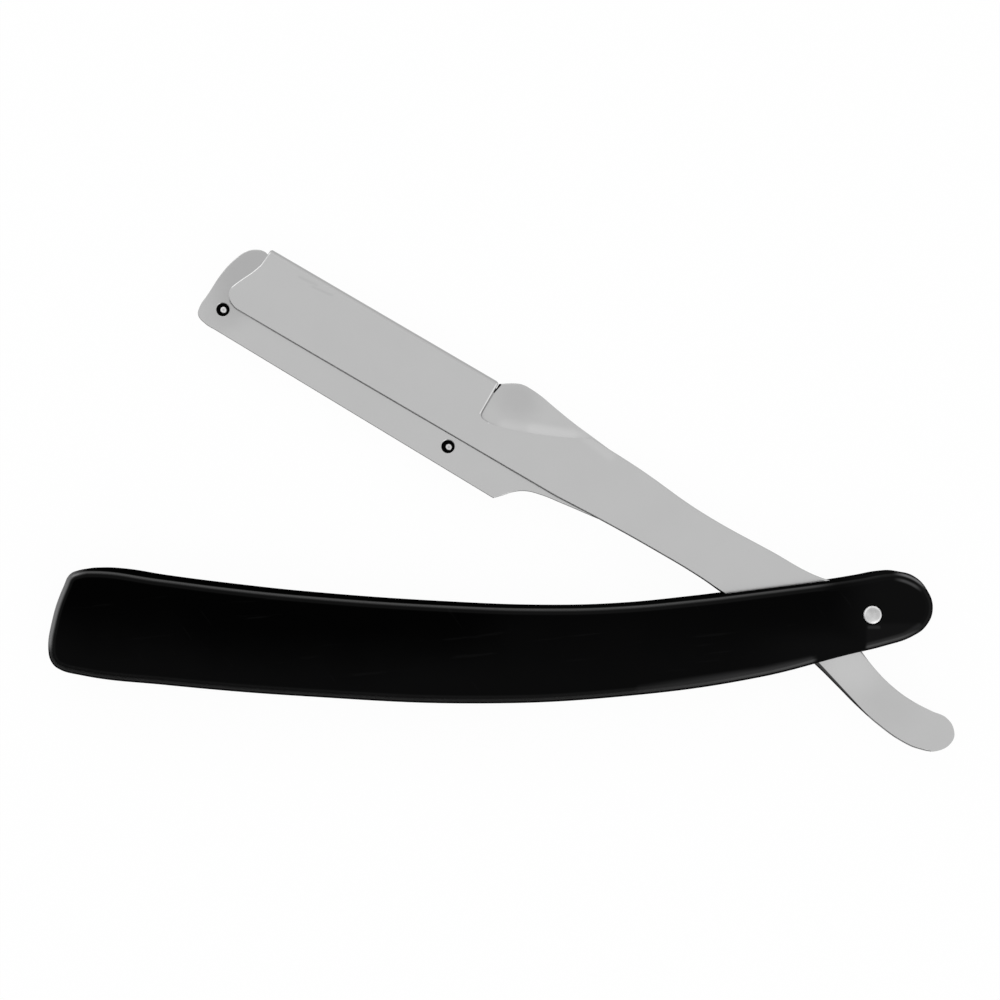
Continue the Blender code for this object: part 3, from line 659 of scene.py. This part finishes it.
def bright_steel(settings, name, turning=False, hole_shade_below=None, highlit_worn_rim=None, middles=()):
    """Bright steel with faint rings from turning, painted shade below a level and a worn rim.

    The worn rim is rougher and painted lighter, a painted highlight. Middles are the places
    along and across the arm where a tip is a little darker.
    """
    material, nodes = new_finish(name)
    place = nodes.coordinates()
    mottle = nodes.noise(place, 0.62)
    share = 1 + (mottle - 0.5) * 0.9
    worn = 0.0
    # The rim is worn rougher, and painted lighter as a highlight
    if highlit_worn_rim is not None:
        worn = nodes.between(nodes.distance(place, AXIS), highlit_worn_rim * 0.72, highlit_worn_rim * 0.88)
        share = share * (0.95 + worn * 0.35)
    core, edge, dimmed = PIN_TIP
    for middle in middles:
        away = nodes.distance(nodes.coordinates(ARM_ANGLE), middle)
        share = share * nodes.between(away, core, edge, dimmed, 1.0)
    hole_shade = None
    # Painted shade below a level, where a pin stands in its hole
    if hole_shade_below is not None:
        hole_shade = nodes.between(nodes.part(place, "Z"), hole_shade_below, hole_shade_below - 0.15)
    rough = (mottle - 0.5) * 0.08 + worn * 0.24 + settings.roughness
    height = nodes.noise(place, 4)
    if turning:
        rings = nodes.distance(place, AXIS) * (math.tau / TURNING_PITCH)
        height = height * 0.5 + rings.math("SINE") * 0.2
    finish_steel(nodes, settings, share, hole_shade, rough, nodes.bump(0.06, 0.01 * MM, height))
    return material


def in_mm(*place):
    """A place in millimetres, level with the pivot, as the finishes take it."""
    return (*(value / MM for value in place), 0)


def drawn(shares, reach, depth, start=0.0):
    """Outline points from shares of a reach, counted from a start, and of a depth."""
    return [(start + along * reach, across * depth, *kind) for along, across, *kind in shares]


def edge_points(shares):
    """Outline points of one long edge of the handle, from the pivot."""
    return drawn(shares, -HANDLE_REACH, HANDLE_BELLY)


def plate_points(shares):
    """Outline points of one stretch of a plate, along and across the arm."""
    return drawn(shares, HEAD_REACH, HEAD_DEPTH)


def lobe_points(angles):
    """Outline points round the pivot."""
    return [(LOBE_RADIUS * math.cos(math.radians(angle)),
             LOBE_RADIUS * math.sin(math.radians(angle))) for angle in angles]


def raised(points, rise):
    """The same points, moved up in Y."""
    return [(x, y + rise, *kind) for x, y, *kind in points]


def handle_outline(top):
    """Outline of a handle half: far end, the given top edge, pivot end and belly."""
    return (drawn(FAR_END_SHARES, HANDLE_BELLY, HANDLE_BELLY, -HANDLE_REACH) + top
            + drawn(PIVOT_END_SHARES, -HANDLE_BELLY, HANDLE_BELLY)
            + edge_points(BELLY_SHARES))


def front_outline():
    """Outline of the front half, whose top edge comes a little nearer to the rear half's."""
    return handle_outline(edge_points([
        (along, up + lift) for (along, up), lift in zip(TOP_EDGE_SHARES, FRONT_TOP_LIFTS)]))


def rear_outline():
    """Outline of the rear half, whose top edge stands up a little."""
    top = edge_points((RISE_FAR_SHARE, *TOP_EDGE_SHARES, RISE_NEAR_SHARE))
    return handle_outline(raised(top, REAR_EDGE_RISE))


def seat_outline():
    """Rear plate: nose, cutting-edge strip, heel, arm, pivot lobe, thumb ear and spine."""
    ear_reach = FOLD_HEEL_REACH - NOTCH_CLEARANCE
    spine = [(ear_reach, -EAR_FOOT_SHARE * HEAD_DEPTH, CORNER),
             (ear_reach, -SEAT_SPINE, CORNER), (FOLD_NOSE_REACH, -SEAT_SPINE, CORNER)]
    return (plate_points(SEAT_NOSE_SHARES + HEEL_SHARES)
            + lobe_points(SEAT_LOBE_ANGLES) + plate_points(SEAT_BACK_SHARES) + spine)


def clamp_outline():
    """Flat front of the clamp plate, with its spine drawn on beyond the bend's line."""
    notch_foot = NOTCH_FOOT_SHARE * HEAD_DEPTH
    edge = -FOLD_LINE - SPARE_SPINE
    spine = [(FOLD_HEEL_REACH, notch_foot, CORNER), (FOLD_HEEL_REACH, edge, CORNER),
             (FOLD_NOSE_REACH, edge, CORNER), (FOLD_NOSE_REACH, -FOLD_LINE, CORNER)]
    return (plate_points(CLAMP_NOSE_SHARES + ARM_EDGE_SHARES)
            + drawn(TAIL_SHARES, -TAIL_REACH, TAIL_REACH) + lobe_points(LOBE_ANGLES)
            + plate_points(ARM_BACK_SHARES + CUT_OUT_SHARES) + spine)


def arc(radius, start, end):
    """Corner points on an arc about the pivot, angles from +X."""
    angles = [start + (end - start) * step / ARC_STEPS for step in range(ARC_STEPS + 1)]
    return [(radius * math.cos(angle), radius * math.sin(angle), CORNER) for angle in angles]


def crossing(points, radius):
    """Angle at which a run of outline points crosses a circle about the pivot."""
    for (x1, y1), (x2, y2) in zip(points, points[1:]):
        near, far = math.hypot(x1, y1), math.hypot(x2, y2)
        if near <= radius < far:
            share = (radius - near) / (far - near)
            return math.atan2(y1 + (y2 - y1) * share, x1 + (x2 - x1) * share) % math.tau
    raise ValueError("the back wall doesn't reach that circle")


def slot_outline():
    """Space between the halves: open over the top and the pivot end, walled at the belly."""
    far_radius = max(math.hypot(*point[:2]) for point in plate_points(SEAT_NOSE_SHARES))
    far_radius += NOSE_CLEARANCE
    near_radius = TAIL_REACH + TAIL_CLEARANCE
    wall = raised(edge_points(BELLY_SHARES), BACK_WALL)
    inside = [point for point in wall if near_radius < math.hypot(*point) < far_radius]
    outside = HANDLE_BELLY + OVERRUN
    far_arc = arc(far_radius, math.pi - math.asin(outside / far_radius),
                  crossing(wall, far_radius))
    near_arc = arc(near_radius, crossing(wall, near_radius),
                   math.pi + math.asin(outside / near_radius))
    corners = [(near_radius, -outside, CORNER), (near_radius, outside, CORNER)]
    return far_arc + list(reversed(inside)) + near_arc + corners


def link(name, data):
    """A new object in the scene."""
    thing = bpy.data.objects.new(name, data)
    bpy.context.scene.collection.objects.link(thing)
    return thing


def as_mesh(shape, name):
    """Turn a finished shape into a mesh."""
    mesh = bpy.data.meshes.new(name)
    shape.to_mesh(mesh)
    shape.free()
    return mesh


def face_out(shape):
    """Turn all the normals outward."""
    bmesh.ops.recalc_face_normals(shape, faces=shape.faces)


def flat_solid(points, steps, bottom, top):
    """A solid of even thickness inside a smooth closed outline."""
    curve = bpy.data.curves.new("outline", "CURVE")
    curve.dimensions = "3D"
    spline = curve.splines.new("BEZIER")
    spline.bezier_points.add(len(points) - 1)
    spline.resolution_u = steps
    spline.use_cyclic_u = True
    for knot, (x, y, *kind) in zip(spline.bezier_points, points):
        knot.co = (x, y, bottom)
        knot.handle_left_type = knot.handle_right_type = kind[0] if kind else SMOOTH
    drawing = link("outline", curve)
    shown = drawing.evaluated_get(bpy.context.evaluated_depsgraph_get())
    mesh = bpy.data.meshes.new_from_object(shown)
    bpy.data.objects.remove(drawing)
    bpy.data.curves.remove(curve)

    shape = bmesh.new()
    shape.from_mesh(mesh)
    bpy.data.meshes.remove(mesh)
    bmesh.ops.remove_doubles(shape, verts=shape.verts, dist=WELD)
    straight = [corner for corner in shape.verts if corner.calc_edge_angle(1) < STRAIGHT]
    bmesh.ops.dissolve_verts(shape, verts=straight)
    bmesh.ops.contextual_create(shape, geom=list(shape.edges))
    base = shape.faces[:]
    lid = bmesh.ops.extrude_face_region(shape, geom=base)["geom"]
    corners = [item for item in lid if isinstance(item, bmesh.types.BMVert)]
    bmesh.ops.translate(shape, verts=corners, vec=(0, 0, top - bottom))
    face_out(shape)
    return shape


def widest_face(shape, side):
    """The large flat face on the front (side 1) or the back (side -1)."""
    return max((face for face in shape.faces if face.normal.z * side > UPRIGHT),
               key=lambda face: face.calc_area())


def quarter(count):
    """Sine and cosine at the ends of the steps of a quarter turn."""
    turns = [math.pi / 2 * step / count for step in range(count + 1)]
    return [(math.sin(turn), math.cos(turn)) for turn in turns]


def round_steps(reach, depth, count):
    """Steps inward and up that round a rim by a quarter oval, and a flat step after."""
    turns = quarter(count)
    steps = [(reach * (near - far), depth * (high - low))
             for (low, near), (high, far) in zip(turns, turns[1:])]
    return (*steps, (RIM_LAND, 0))


def turn_rim(shape, side, steps):
    """Turn the rim of a flat face over, in steps inward and up, the face's level kept."""
    face = widest_face(shape, side)
    whole = sum(rise for _, rise in steps)
    bmesh.ops.translate(shape, verts=face.verts, vec=(0, 0, -side * whole))
    for inward, rise in steps:
        bmesh.ops.inset_region(shape, faces=[face], use_boundary=True, use_even_offset=True,
                               thickness=inward, depth=0)
        bmesh.ops.translate(shape, verts=face.verts, vec=(0, 0, side * rise))


def spin_profile(shape, profile, centre, closed=False):
    """Spin a profile of (radius, level) points about an upright axis."""
    before = set(shape.verts)
    corners = [shape.verts.new((centre[0] + radius, centre[1], level))
               for radius, level in profile]
    pairs = list(zip(corners, corners[1:]))
    if closed:
        pairs.append((corners[-1], corners[0]))
    edges = [shape.edges.new(pair) for pair in pairs]
    bmesh.ops.spin(shape, geom=corners + edges, cent=(*centre, 0), axis=(0, 0, 1),
                   dvec=(0, 0, 0), angle=math.tau,
                   steps=bpy.context.scene.razor_fittings.round_steps,
                   use_merge=True, use_normal_flip=False, use_duplicate=False)
    fresh = [corner for corner in shape.verts if corner not in before]
    bmesh.ops.remove_doubles(shape, verts=fresh, dist=WELD)


def ring_edges(shape, centre, radius, level):
    """The edges of one ring of a spun profile."""
    def on_ring(corner):
        reach = math.hypot(corner.co.x - centre[0], corner.co.y - centre[1])
        return abs(reach - radius) < WELD and abs(corner.co.z - level) < WELD
    return [edge for edge in shape.edges if all(on_ring(corner) for corner in edge.verts)]


def drill(shape, holes):
    """Open holes, each a centre and a profile from the front face to the back face."""
    old = [widest_face(shape, 1), widest_face(shape, -1)]
    fronts, backs = (list(face.edges) for face in old)
    bmesh.ops.delete(shape, geom=old, context="FACES_ONLY")
    for centre, profile in holes:
        spin_profile(shape, profile, centre)
        fronts += ring_edges(shape, centre, *profile[0])
        backs += ring_edges(shape, centre, *profile[-1])
    bmesh.ops.triangle_fill(shape, use_beauty=True, edges=fronts, normal=(0, 0, 1))
    bmesh.ops.triangle_fill(shape, use_beauty=True, edges=backs, normal=(0, 0, -1))
    face_out(shape)


def hole_profile(radius, front, back, front_rim, back_rim):
    """Profile of a plain hole with rounded rims, from the front face to the back face."""
    profile = [(radius + front_rim + RIM_LAND, front)]
    profile += [(radius + front_rim * (1 - sine), front - front_rim * (1 - cosine))
                for sine, cosine in quarter(HOLE_FRONT_STEPS)]
    profile += [(radius + back_rim * (1 - cosine), back + back_rim * (1 - sine))
                for sine, cosine in quarter(HOLE_BACK_STEPS)]
    return profile


def pin_hole_profile():
    """Profile of a pin's hole: its front rim slopes in, then rounds over."""
    plain = hole_profile(PIN_HOLE_RADIUS, SEAT_FRONT, SEAT_BACK, 0, HOLE_RIM)
    return [(PIN_HOLE_RADIUS + out, SEAT_FRONT - down) for out, down in PIN_HOLE_RIM] + (
        plain[-HOLE_BACK_STEPS - 1:])


def place_shape(shape, name, body, finish, turn=0.0):
    """Put a shape in the scene where its CAD node is, with its place in its mesh."""
    place = Matrix.Translation(PIVOT) @ Matrix.Rotation(turn, 4, "Z")
    bmesh.ops.transform(shape, matrix=place, verts=shape.verts)
    mesh = as_mesh(shape, name + "_form")
    mesh.shade_smooth()
    mesh.set_sharp_from_angle(angle=SHARP_ANGLE)
    mesh.materials.append(finish)
    piece = link(name + "_form", mesh)
    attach(piece, body)
    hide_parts(name)
    return piece


def cut_away(shape, cutters):
    """Take solid cutters out of a shape; returns the new shape."""
    holder = []
    for index, source in enumerate([shape, *cutters]):
        many_sided = [face for face in source.faces if len(face.verts) > 4]
        bmesh.ops.triangulate(source, faces=many_sided)
        name = "blank_%d" % index
        holder.append(link(name, as_mesh(source, name)))
    for cutter in holder[1:]:
        step = holder[0].modifiers.new(cutter.name, "BOOLEAN")
        step.operation = "DIFFERENCE"
        step.solver = "EXACT"
        step.object = cutter
    shown = holder[0].evaluated_get(bpy.context.evaluated_depsgraph_get())
    result = bmesh.new()
    result.from_mesh(shown.to_mesh())
    shown.to_mesh_clear()
    for block in holder:
        mesh = block.data
        bpy.data.objects.remove(block)
        bpy.data.meshes.remove(mesh)
    return result


def plug(radius, bottom, top):
    """A round cutter on the pivot axis."""
    shape = bmesh.new()
    middle = Matrix.Translation((0, 0, (bottom + top) / 2))
    bmesh.ops.create_cone(shape, cap_ends=True, segments=CUTTER_SIDES, radius1=radius,
                          radius2=radius, depth=top - bottom, matrix=middle)
    return shape


def break_edges(piece):
    """Round off the remaining hard edges of a moulded piece."""
    bevel = piece.modifiers.new("broken_edges", "BEVEL")
    bevel.width = BROKEN_EDGE
    bevel.segments = BROKEN_EDGE_STEPS
    bevel.limit_method = "ANGLE"
    bevel.angle_limit = SHARP_ANGLE
    bevel.use_clamp_overlap = True


class RAZOR_OT_handle(bpy.types.Operator):
    """Make the two halves of the black plastic handle"""

    bl_idname = "razor.handle"
    bl_label = "Handle"

    def execute(self, context):
        settings = context.scene.razor_handle
        plastic = black_plastic(settings)

        front = flat_solid(front_outline(), HANDLE_CURVE_STEPS, SLOT_FRONT, HANDLE_FRONT)
        outer_rim = round_steps(settings.rim_reach, settings.rim_depth, HANDLE_RIM_STEPS)
        turn_rim(front, 1, outer_rim)
        turn_rim(front, -1, round_steps(settings.inner_rim, settings.inner_rim,
                                        INNER_RIM_STEPS))
        floor = HANDLE_FRONT + RIVET_STAND - RIVET_HEAD_HEIGHT - FIXED_GAP
        recess = hole_profile(HEAD_RECESS_RADIUS, HANDLE_FRONT, floor, HEAD_RECESS_RIM, 0)
        profile = recess[:HOLE_FRONT_STEPS + 2]
        profile += [(HEAD_RECESS_RADIUS, floor), (HOLE_RADIUS, floor),
                    (HOLE_RADIUS, SLOT_FRONT)]
        drill(front, [((0, 0), profile)])
        place_shape(front, "handle_front", "handle", plastic)

        rear = flat_solid(rear_outline(), HANDLE_CURVE_STEPS, 0, JOINED_FRONT)
        turn_rim(rear, -1, outer_rim)
        past = JOINED_FRONT + OVERRUN
        slot = flat_solid(slot_outline(), SLOT_CURVE_STEPS, HALF_THICKNESS, past)
        rear = cut_away(rear, [plug(HOLE_RADIUS, -OVERRUN, past),
                               plug(COLLAR_RADIUS + FIXED_GAP, -OVERRUN, REAR_RECESS_DEPTH),
                               slot])
        break_edges(place_shape(rear, "handle_rear", "handle", plastic))
        return {"FINISHED"}


def stamp(outline, settings, back, front, roll, holes=()):
    """A plate cut from sheet: front edge turned down, back rim rounded, holes opened."""
    shape = flat_solid(outline, settings.curve_steps, back, front)
    turn_rim(shape, 1, roll)
    turn_rim(shape, -1, round_steps(settings.back_rim, settings.back_rim, BACK_RIM_STEPS))
    profile = hole_profile(HOLE_RADIUS, front, back, HOLE_RIM, HOLE_RIM)
    drill(shape, [((0, 0), profile), *holes])
    return shape


class RAZOR_OT_seat_plate(bpy.types.Operator):
    """Make the rear steel plate with its thumb ear and pin holes"""

    bl_idname = "razor.seat_plate"
    bl_label = "Seat plate"

    def execute(self, context):
        settings = context.scene.razor_plates
        shape = stamp(seat_outline(), settings, SEAT_BACK, SEAT_FRONT, SEAT_ROLL,
                      [(place, pin_hole_profile()) for _, *place in PIN_PLACES])
        steel = satin_steel(settings, "seat_steel", SEAT_PAINTED_SHADE, SEAT_PAINTED_LIGHT,
                            [in_mm(*place) for _, *place in PIN_PLACES])
        place_shape(shape, "seat_plate", "seat_arm", steel, ARM_ANGLE)
        return {"FINISHED"}


class RAZOR_OT_clamp_plate(bpy.types.Operator):
    """Make the front steel plate with the tail and the folded spine"""

    bl_idname = "razor.clamp_plate"
    bl_label = "Clamp plate"

    def execute(self, context):
        settings = context.scene.razor_plates
        shape = stamp(clamp_outline(), settings, CLAMP_BACK, CLAMP_FRONT, CLAMP_ROLL)
        self.square_edges(shape)
        self.fold_spine(shape)
        self.round_fold_end(shape)
        steel = satin_steel(settings, "clamp_steel", CLAMP_TONES, CLAMP_MARKS_AND_PAINTED_LIGHT)
        place_shape(shape, "clamp_plate", "clamp_arm", steel, ARM_ANGLE)
        return {"FINISHED"}

    @staticmethod
    def square_edges(shape):
        """Bring the turned-down edge up again where the sheet was cut square."""
        for corner in shape.verts:
            turned = CLAMP_FRONT - ROLL_DEPTH < corner.co.z < CLAMP_FRONT
            for low, high, near, far in SQUARE_EDGES:
                if turned and low < corner.co.x < high and near < corner.co.y < far:
                    corner.co.z = CLAMP_FRONT

    @staticmethod
    def round_fold_end(shape):
        """Round the heel end of the fold, seen from the front."""
        for corner in shape.verts:
            past = -FOLD_LINE - FOLD_RADIUS + FOLD_CORNER - corner.co.y
            if past > 0 and corner.co.x < FOLD_HEEL_REACH + FOLD_CORNER:
                drop = FOLD_CORNER - math.sqrt(max(FOLD_CORNER ** 2 - past ** 2, 0))
                corner.co.x += drop

    @staticmethod
    def fold_spine(shape):
        """Cut the drawn-on spine off at the bend's line and bend the sheet round there."""
        near = FOLD_HEEL_REACH - SPARE_END

        def beyond_line(item):
            middle = item.calc_center_median()
            return middle.x > near and middle.y < -FOLD_LINE - WELD

        for across in (-FOLD_LINE + BEND_STRIP, -FOLD_LINE):
            stretch = [face for face in shape.faces
                       if max(corner.co.x for corner in face.verts) > near]
            around = {item for face in stretch for item in (*face.verts, *face.edges, face)}
            bmesh.ops.bisect_plane(shape, geom=list(around), dist=WELD / 10,
                                   plane_co=(0, across, 0), plane_no=(0, 1, 0))
        bmesh.ops.delete(shape, geom=[face for face in shape.faces if beyond_line(face)],
                         context="FACES")
        edges = [edge for edge in shape.edges if edge.is_boundary]
        flat = CLAMP_FRONT - LIP_BACK - 2 * FOLD_RADIUS
        top = CLAMP_FRONT - FOLD_RADIUS
        edges = bend(shape, edges, (0, -FOLD_LINE, top))
        edges = extend(shape, edges, (0, 0, -flat))
        edges = bend(shape, edges, (0, -FOLD_LINE, top - flat))
        edges = extend(shape, edges, (0, LIP_WIDTH, 0))
        bmesh.ops.contextual_create(shape, geom=edges)
        bmesh.ops.remove_doubles(shape, verts=shape.verts, dist=WELD)
        face_out(shape)


def extend(shape, edges, offset):
    """Pull open edges out along a straight line; returns the new edges."""
    pulled = bmesh.ops.extrude_edge_only(shape, edges=edges)["geom"]
    corners = [item for item in pulled if isinstance(item, bmesh.types.BMVert)]
    bmesh.ops.translate(shape, verts=corners, vec=offset)
    return [item for item in pulled if isinstance(item, bmesh.types.BMEdge)
            and all(corner in corners for corner in item.verts)]


def bend(shape, edges, centre):
    """Bend open edges a quarter turn about a line along the arm; returns the last ones."""
    turned = bmesh.ops.spin(shape, geom=edges, cent=centre, axis=(1, 0, 0), dvec=(0, 0, 0),
                            angle=math.pi / 2, steps=BEND_STEPS, use_merge=False,
                            use_normal_flip=False, use_duplicate=False)["geom_last"]
    return [item for item in turned if isinstance(item, bmesh.types.BMEdge)]


def turned(name, body, slot, steel, profile, centre=(0, 0), closed=False, turn=0.0):
    """Place a piece that is spun from a profile."""
    shape = bmesh.new()
    spin_profile(shape, profile, centre, closed)
    face_out(shape)
    place_shape(shape, name, body, steel, turn)


class RAZOR_OT_blade_pins(bpy.types.Operator):
    """Make the two pins that locate the half blade"""

    bl_idname = "razor.blade_pins"
    bl_label = "Blade pins"

    def execute(self, context):
        places = {name: (along - PIN_SET_BACK, across) for name, along, across in PIN_PLACES}
        steel = bright_steel(context.scene.razor_fittings, "pin_steel_bright",
                             hole_shade_below=SEAT_FRONT / MM + 0.1,
                             middles=[in_mm(*place) for place in places.values()])
        tip = SEAT_FRONT + PIN_STAND
        top = SEAT_BACK - FIXED_GAP
        bottom = top - PIN_FLANGE
        inside = PIN_FLANGE_RADIUS - TURNED_CORNER
        edge = [(PIN_RADIUS - PIN_ROUNDING + PIN_ROUNDING * sine,
                 tip - PIN_ROUNDING + PIN_ROUNDING * cosine)
                for sine, cosine in quarter(HOLE_FRONT_STEPS)]
        profile = [(0, tip), (edge[0][0] - PIN_LAND, tip), *edge, (PIN_RADIUS, top),
                   (inside, top), (PIN_FLANGE_RADIUS, top - TURNED_CORNER),
                   (PIN_FLANGE_RADIUS, bottom + TURNED_CORNER), (inside, bottom),
                   (0, bottom)]
        for name, place in places.items():
            turned(name, "seat_arm", "pin_steel", steel, profile, place, turn=ARM_ANGLE)
        return {"FINISHED"}


class RAZOR_OT_pivot(bpy.types.Operator):
    """Make the rivet, its collar and the washers"""

    bl_idname = "razor.pivot"
    bl_label = "Pivot"

    def execute(self, context):
        settings = context.scene.razor_fittings
        steel = bright_steel(settings, "rivet_steel_bright", turning=True,
                             highlit_worn_rim=RIVET_HEAD_RADIUS / MM)
        plain = bright_steel(settings, "washer_steel_plain", turning=True)
        rim = HANDLE_FRONT + RIVET_STAND
        back = rim - RIVET_HEAD_HEIGHT
        peen = PEEN_SET_BACK + PEEN_HEIGHT
        profile = [(RIVET_HEAD_RADIUS * share, rim + RIVET_CROWN * rise)
                   for share, rise in CROWN_SHARES]
        profile += [(RIVET_HEAD_RADIUS, back), (RIVET_RADIUS, back), (RIVET_RADIUS, peen),
                    (PEEN_RADIUS - TURNED_CORNER, peen), (PEEN_RADIUS, peen - TURNED_CORNER)]
        profile += [(PEEN_RADIUS * share, PEEN_SET_BACK + rise) for share, rise in PEEN_BACK]
        turned("pivot_rivet", "handle", "rivet_steel", steel,
               [*profile, (0, PEEN_SET_BACK)])
        self.ring("rivet_collar", COLLAR_RADIUS, RIVET_RADIUS + FIXED_GAP,
                  peen + FIXED_GAP, COLLAR_THICKNESS, "rivet_steel", steel)
        self.ring("washer_rear", WASHER_RADIUS, HOLE_RADIUS, LIP_BACK, SHEET,
                  "washer_steel", plain)
        self.ring("washer_front", WASHER_RADIUS, HOLE_RADIUS, FRONT_WASHER_BACK,
                  FRONT_WASHER, "washer_steel", plain)
        return {"FINISHED"}

    @staticmethod
    def ring(name, outer, inner, bottom, thickness, slot, steel):
        """A flat ring with slightly broken corners."""
        cut = RING_CORNER
        top = bottom + thickness
        profile = [(outer - cut, top), (outer, top - cut), (outer, bottom + cut),
                   (outer - cut, bottom), (inner + cut, bottom), (inner, bottom + cut),
                   (inner, top - cut), (inner + cut, top)]
        turned(name, "handle", slot, steel, profile, closed=True)


def plain_card(name, size, finish):
    """A flat rectangle in the scene."""
    shape = bmesh.new()
    bmesh.ops.create_grid(shape, x_segments=1, y_segments=1, size=0.5)
    bmesh.ops.scale(shape, verts=shape.verts, vec=(*size, 1))
    mesh = as_mesh(shape, name)
    mesh.materials.append(finish)
    card = link(name, mesh)
    return card


def aim(thing, azimuth, elevation, distance):
    """Put a lamp or a card on a sphere round the razor, facing its middle."""
    turn, rise = math.radians(azimuth), math.radians(elevation)
    flat = math.cos(rise) * distance
    place = Vector((flat * math.cos(turn), flat * math.sin(turn), math.sin(rise) * distance))
    thing.location = place
    thing.rotation_euler = place.to_track_quat("Z", "Y").to_euler()


def soft_lamp(name, level, size, azimuth, elevation, distance):
    """A rectangular soft lamp of a given brightness."""
    lamp = bpy.data.lights.new(name, "AREA")
    lamp.shape = "RECTANGLE"
    lamp.size, lamp.size_y = size
    lamp.energy = level * math.pi * size[0] * size[1]
    holder = link(name, lamp)
    holder.visible_camera = False
    aim(holder, azimuth, elevation, distance)


class RAZOR_OT_stage(bpy.types.Operator):
    """Make the table, the light and the camera"""

    bl_idname = "razor.stage"
    bl_label = "Stage"

    def execute(self, context):
        settings = context.scene.razor_stage
        scene = context.scene
        scene.view_settings.view_transform = "Standard"
        self.make_world(scene, settings)
        self.make_table()
        soft_lamp("key_lamp", settings.key_level, *KEY_LAMP)
        soft_lamp("fill_lamp", settings.fill_level, *FILL_LAMP)

        size, *place = DARK_CARD
        card = plain_card("dark_card", size, self.card_finish())
        aim(card, *place)
        for rays in ("camera", "diffuse", "shadow", "transmission"):
            setattr(card, "visible_" + rays, False)

        view = bpy.data.cameras.new("photo_camera")
        view.lens = settings.lens
        view.sensor_width = SENSOR_WIDTH
        view.clip_start = NEAR_CLIP
        camera = link("photo_camera", view)
        camera.location = CAMERA_PLACE
        scene.camera = camera
        return {"FINISHED"}

    @staticmethod
    def make_world(scene, settings):
        """A room that lights softly and is seen as a white background."""
        world = bpy.data.worlds.new("white_room")
        scene.world = world
        nodes = Nodes(world)
        seen = seen_directly(nodes)
        height = nodes.part(nodes.add("TexCoord", {}, {}, "Generated"), "Z")
        shown = nodes.between(height, *SKY, 1.0, settings.ceiling)
        level = seen * shown + (1 - seen) * settings.ambient
        background = nodes.add("Background", {}, {"Color": grey(1), "Strength": level})
        nodes.add("OutputWorld", {}, {"Surface": background})

    @staticmethod
    def make_table():
        """A white table top that keeps a soft shadow."""
        material, nodes = new_finish("white_table")
        cloud = nodes.noise(nodes.add("TexCoord", {}, {}, "Object"), 6)
        tone = nodes.mix(cloud, *map(grey, TABLE_GREYS))
        matt = nodes.add("BsdfPrincipled", {}, {"Base Color": tone, "Roughness": 0.8,
                                                "Specular IOR Level": 0.1}, "BSDF")
        glow = nodes.add("Emission", {}, {"Color": grey(1), "Strength": 1.0})
        surface = nodes.add("MixShader", {}, {0: seen_directly(nodes) * TABLE_GLOW,
                                              1: matt, 2: glow})
        nodes.add("OutputMaterial", {}, {"Surface": surface})
        plain_card("table_top", TABLE_SIZE, material).location.z = -TABLE_DROP

    @staticmethod
    def card_finish():
        """Dark cloth that the steel edges reflect."""
        material, nodes = new_finish("dark_cloth")
        weave = nodes.noise(nodes.add("TexCoord", {}, {}, "Object"), 40)
        tone = nodes.mix(weave, *map(grey, CARD_GREYS))
        finish_surface(nodes, {"Base Color": tone, "Roughness": 1.0})
        return material


def seen_directly(nodes):
    """1 for camera, mirror and glass rays, 0 for rays that only carry light."""
    return highest([nodes.add("LightPath", {}, {}, name)
                    for name in ("Is Camera Ray", "Is Glossy Ray", "Is Transmission Ray")])


class RAZOR_PT_panel(bpy.types.Panel):
    """Lists the pieces of the razor"""

    bl_idname = "RAZOR_PT_panel"
    bl_label = "Folding razor"
    bl_space_type = "VIEW_3D"
    bl_region_type = "UI"
    bl_category = "Razor"

    def draw(self, context):
        for group in ("razor_handle", "razor_plates", "razor_fittings", "razor_stage"):
            box = self.layout.box()
            settings = getattr(context.scene, group)
            for name in settings.__annotations__:
                box.prop(settings, name)
        for step in MAKERS:
            self.layout.operator(step.bl_idname)


GROUPS = (
    (RazorHandle, "razor_handle"),
    (RazorPlates, "razor_plates"),
    (RazorFittings, "razor_fittings"),
    (RazorStage, "razor_stage"),
)
MAKERS = (
    RAZOR_OT_stage,
    RAZOR_OT_handle,
    RAZOR_OT_seat_plate,
    RAZOR_OT_clamp_plate,
    RAZOR_OT_blade_pins,
    RAZOR_OT_pivot,
)


def register():
    """Make the settings, the operators and the panel known to Blender."""
    for group, name in GROUPS:
        bpy.utils.register_class(group)
        setattr(bpy.types.Scene, name, PointerProperty(type=group))
    for step in (*MAKERS, RAZOR_PT_panel):
        bpy.utils.register_class(step)


def unregister():
    """Take them out again."""
    for step in reversed((*MAKERS, RAZOR_PT_panel)):
        bpy.utils.unregister_class(step)
    for group, name in reversed(GROUPS):
        delattr(bpy.types.Scene, name)
        bpy.utils.unregister_class(group)


def main():
    """Make the stage and every piece."""
    register()
    bpy.ops.razor.stage()
    bpy.ops.razor.handle()
    bpy.ops.razor.seat_plate()
    bpy.ops.razor.clamp_plate()
    bpy.ops.razor.blade_pins()
    bpy.ops.razor.pivot()


if __name__ == "__main__":
    main()
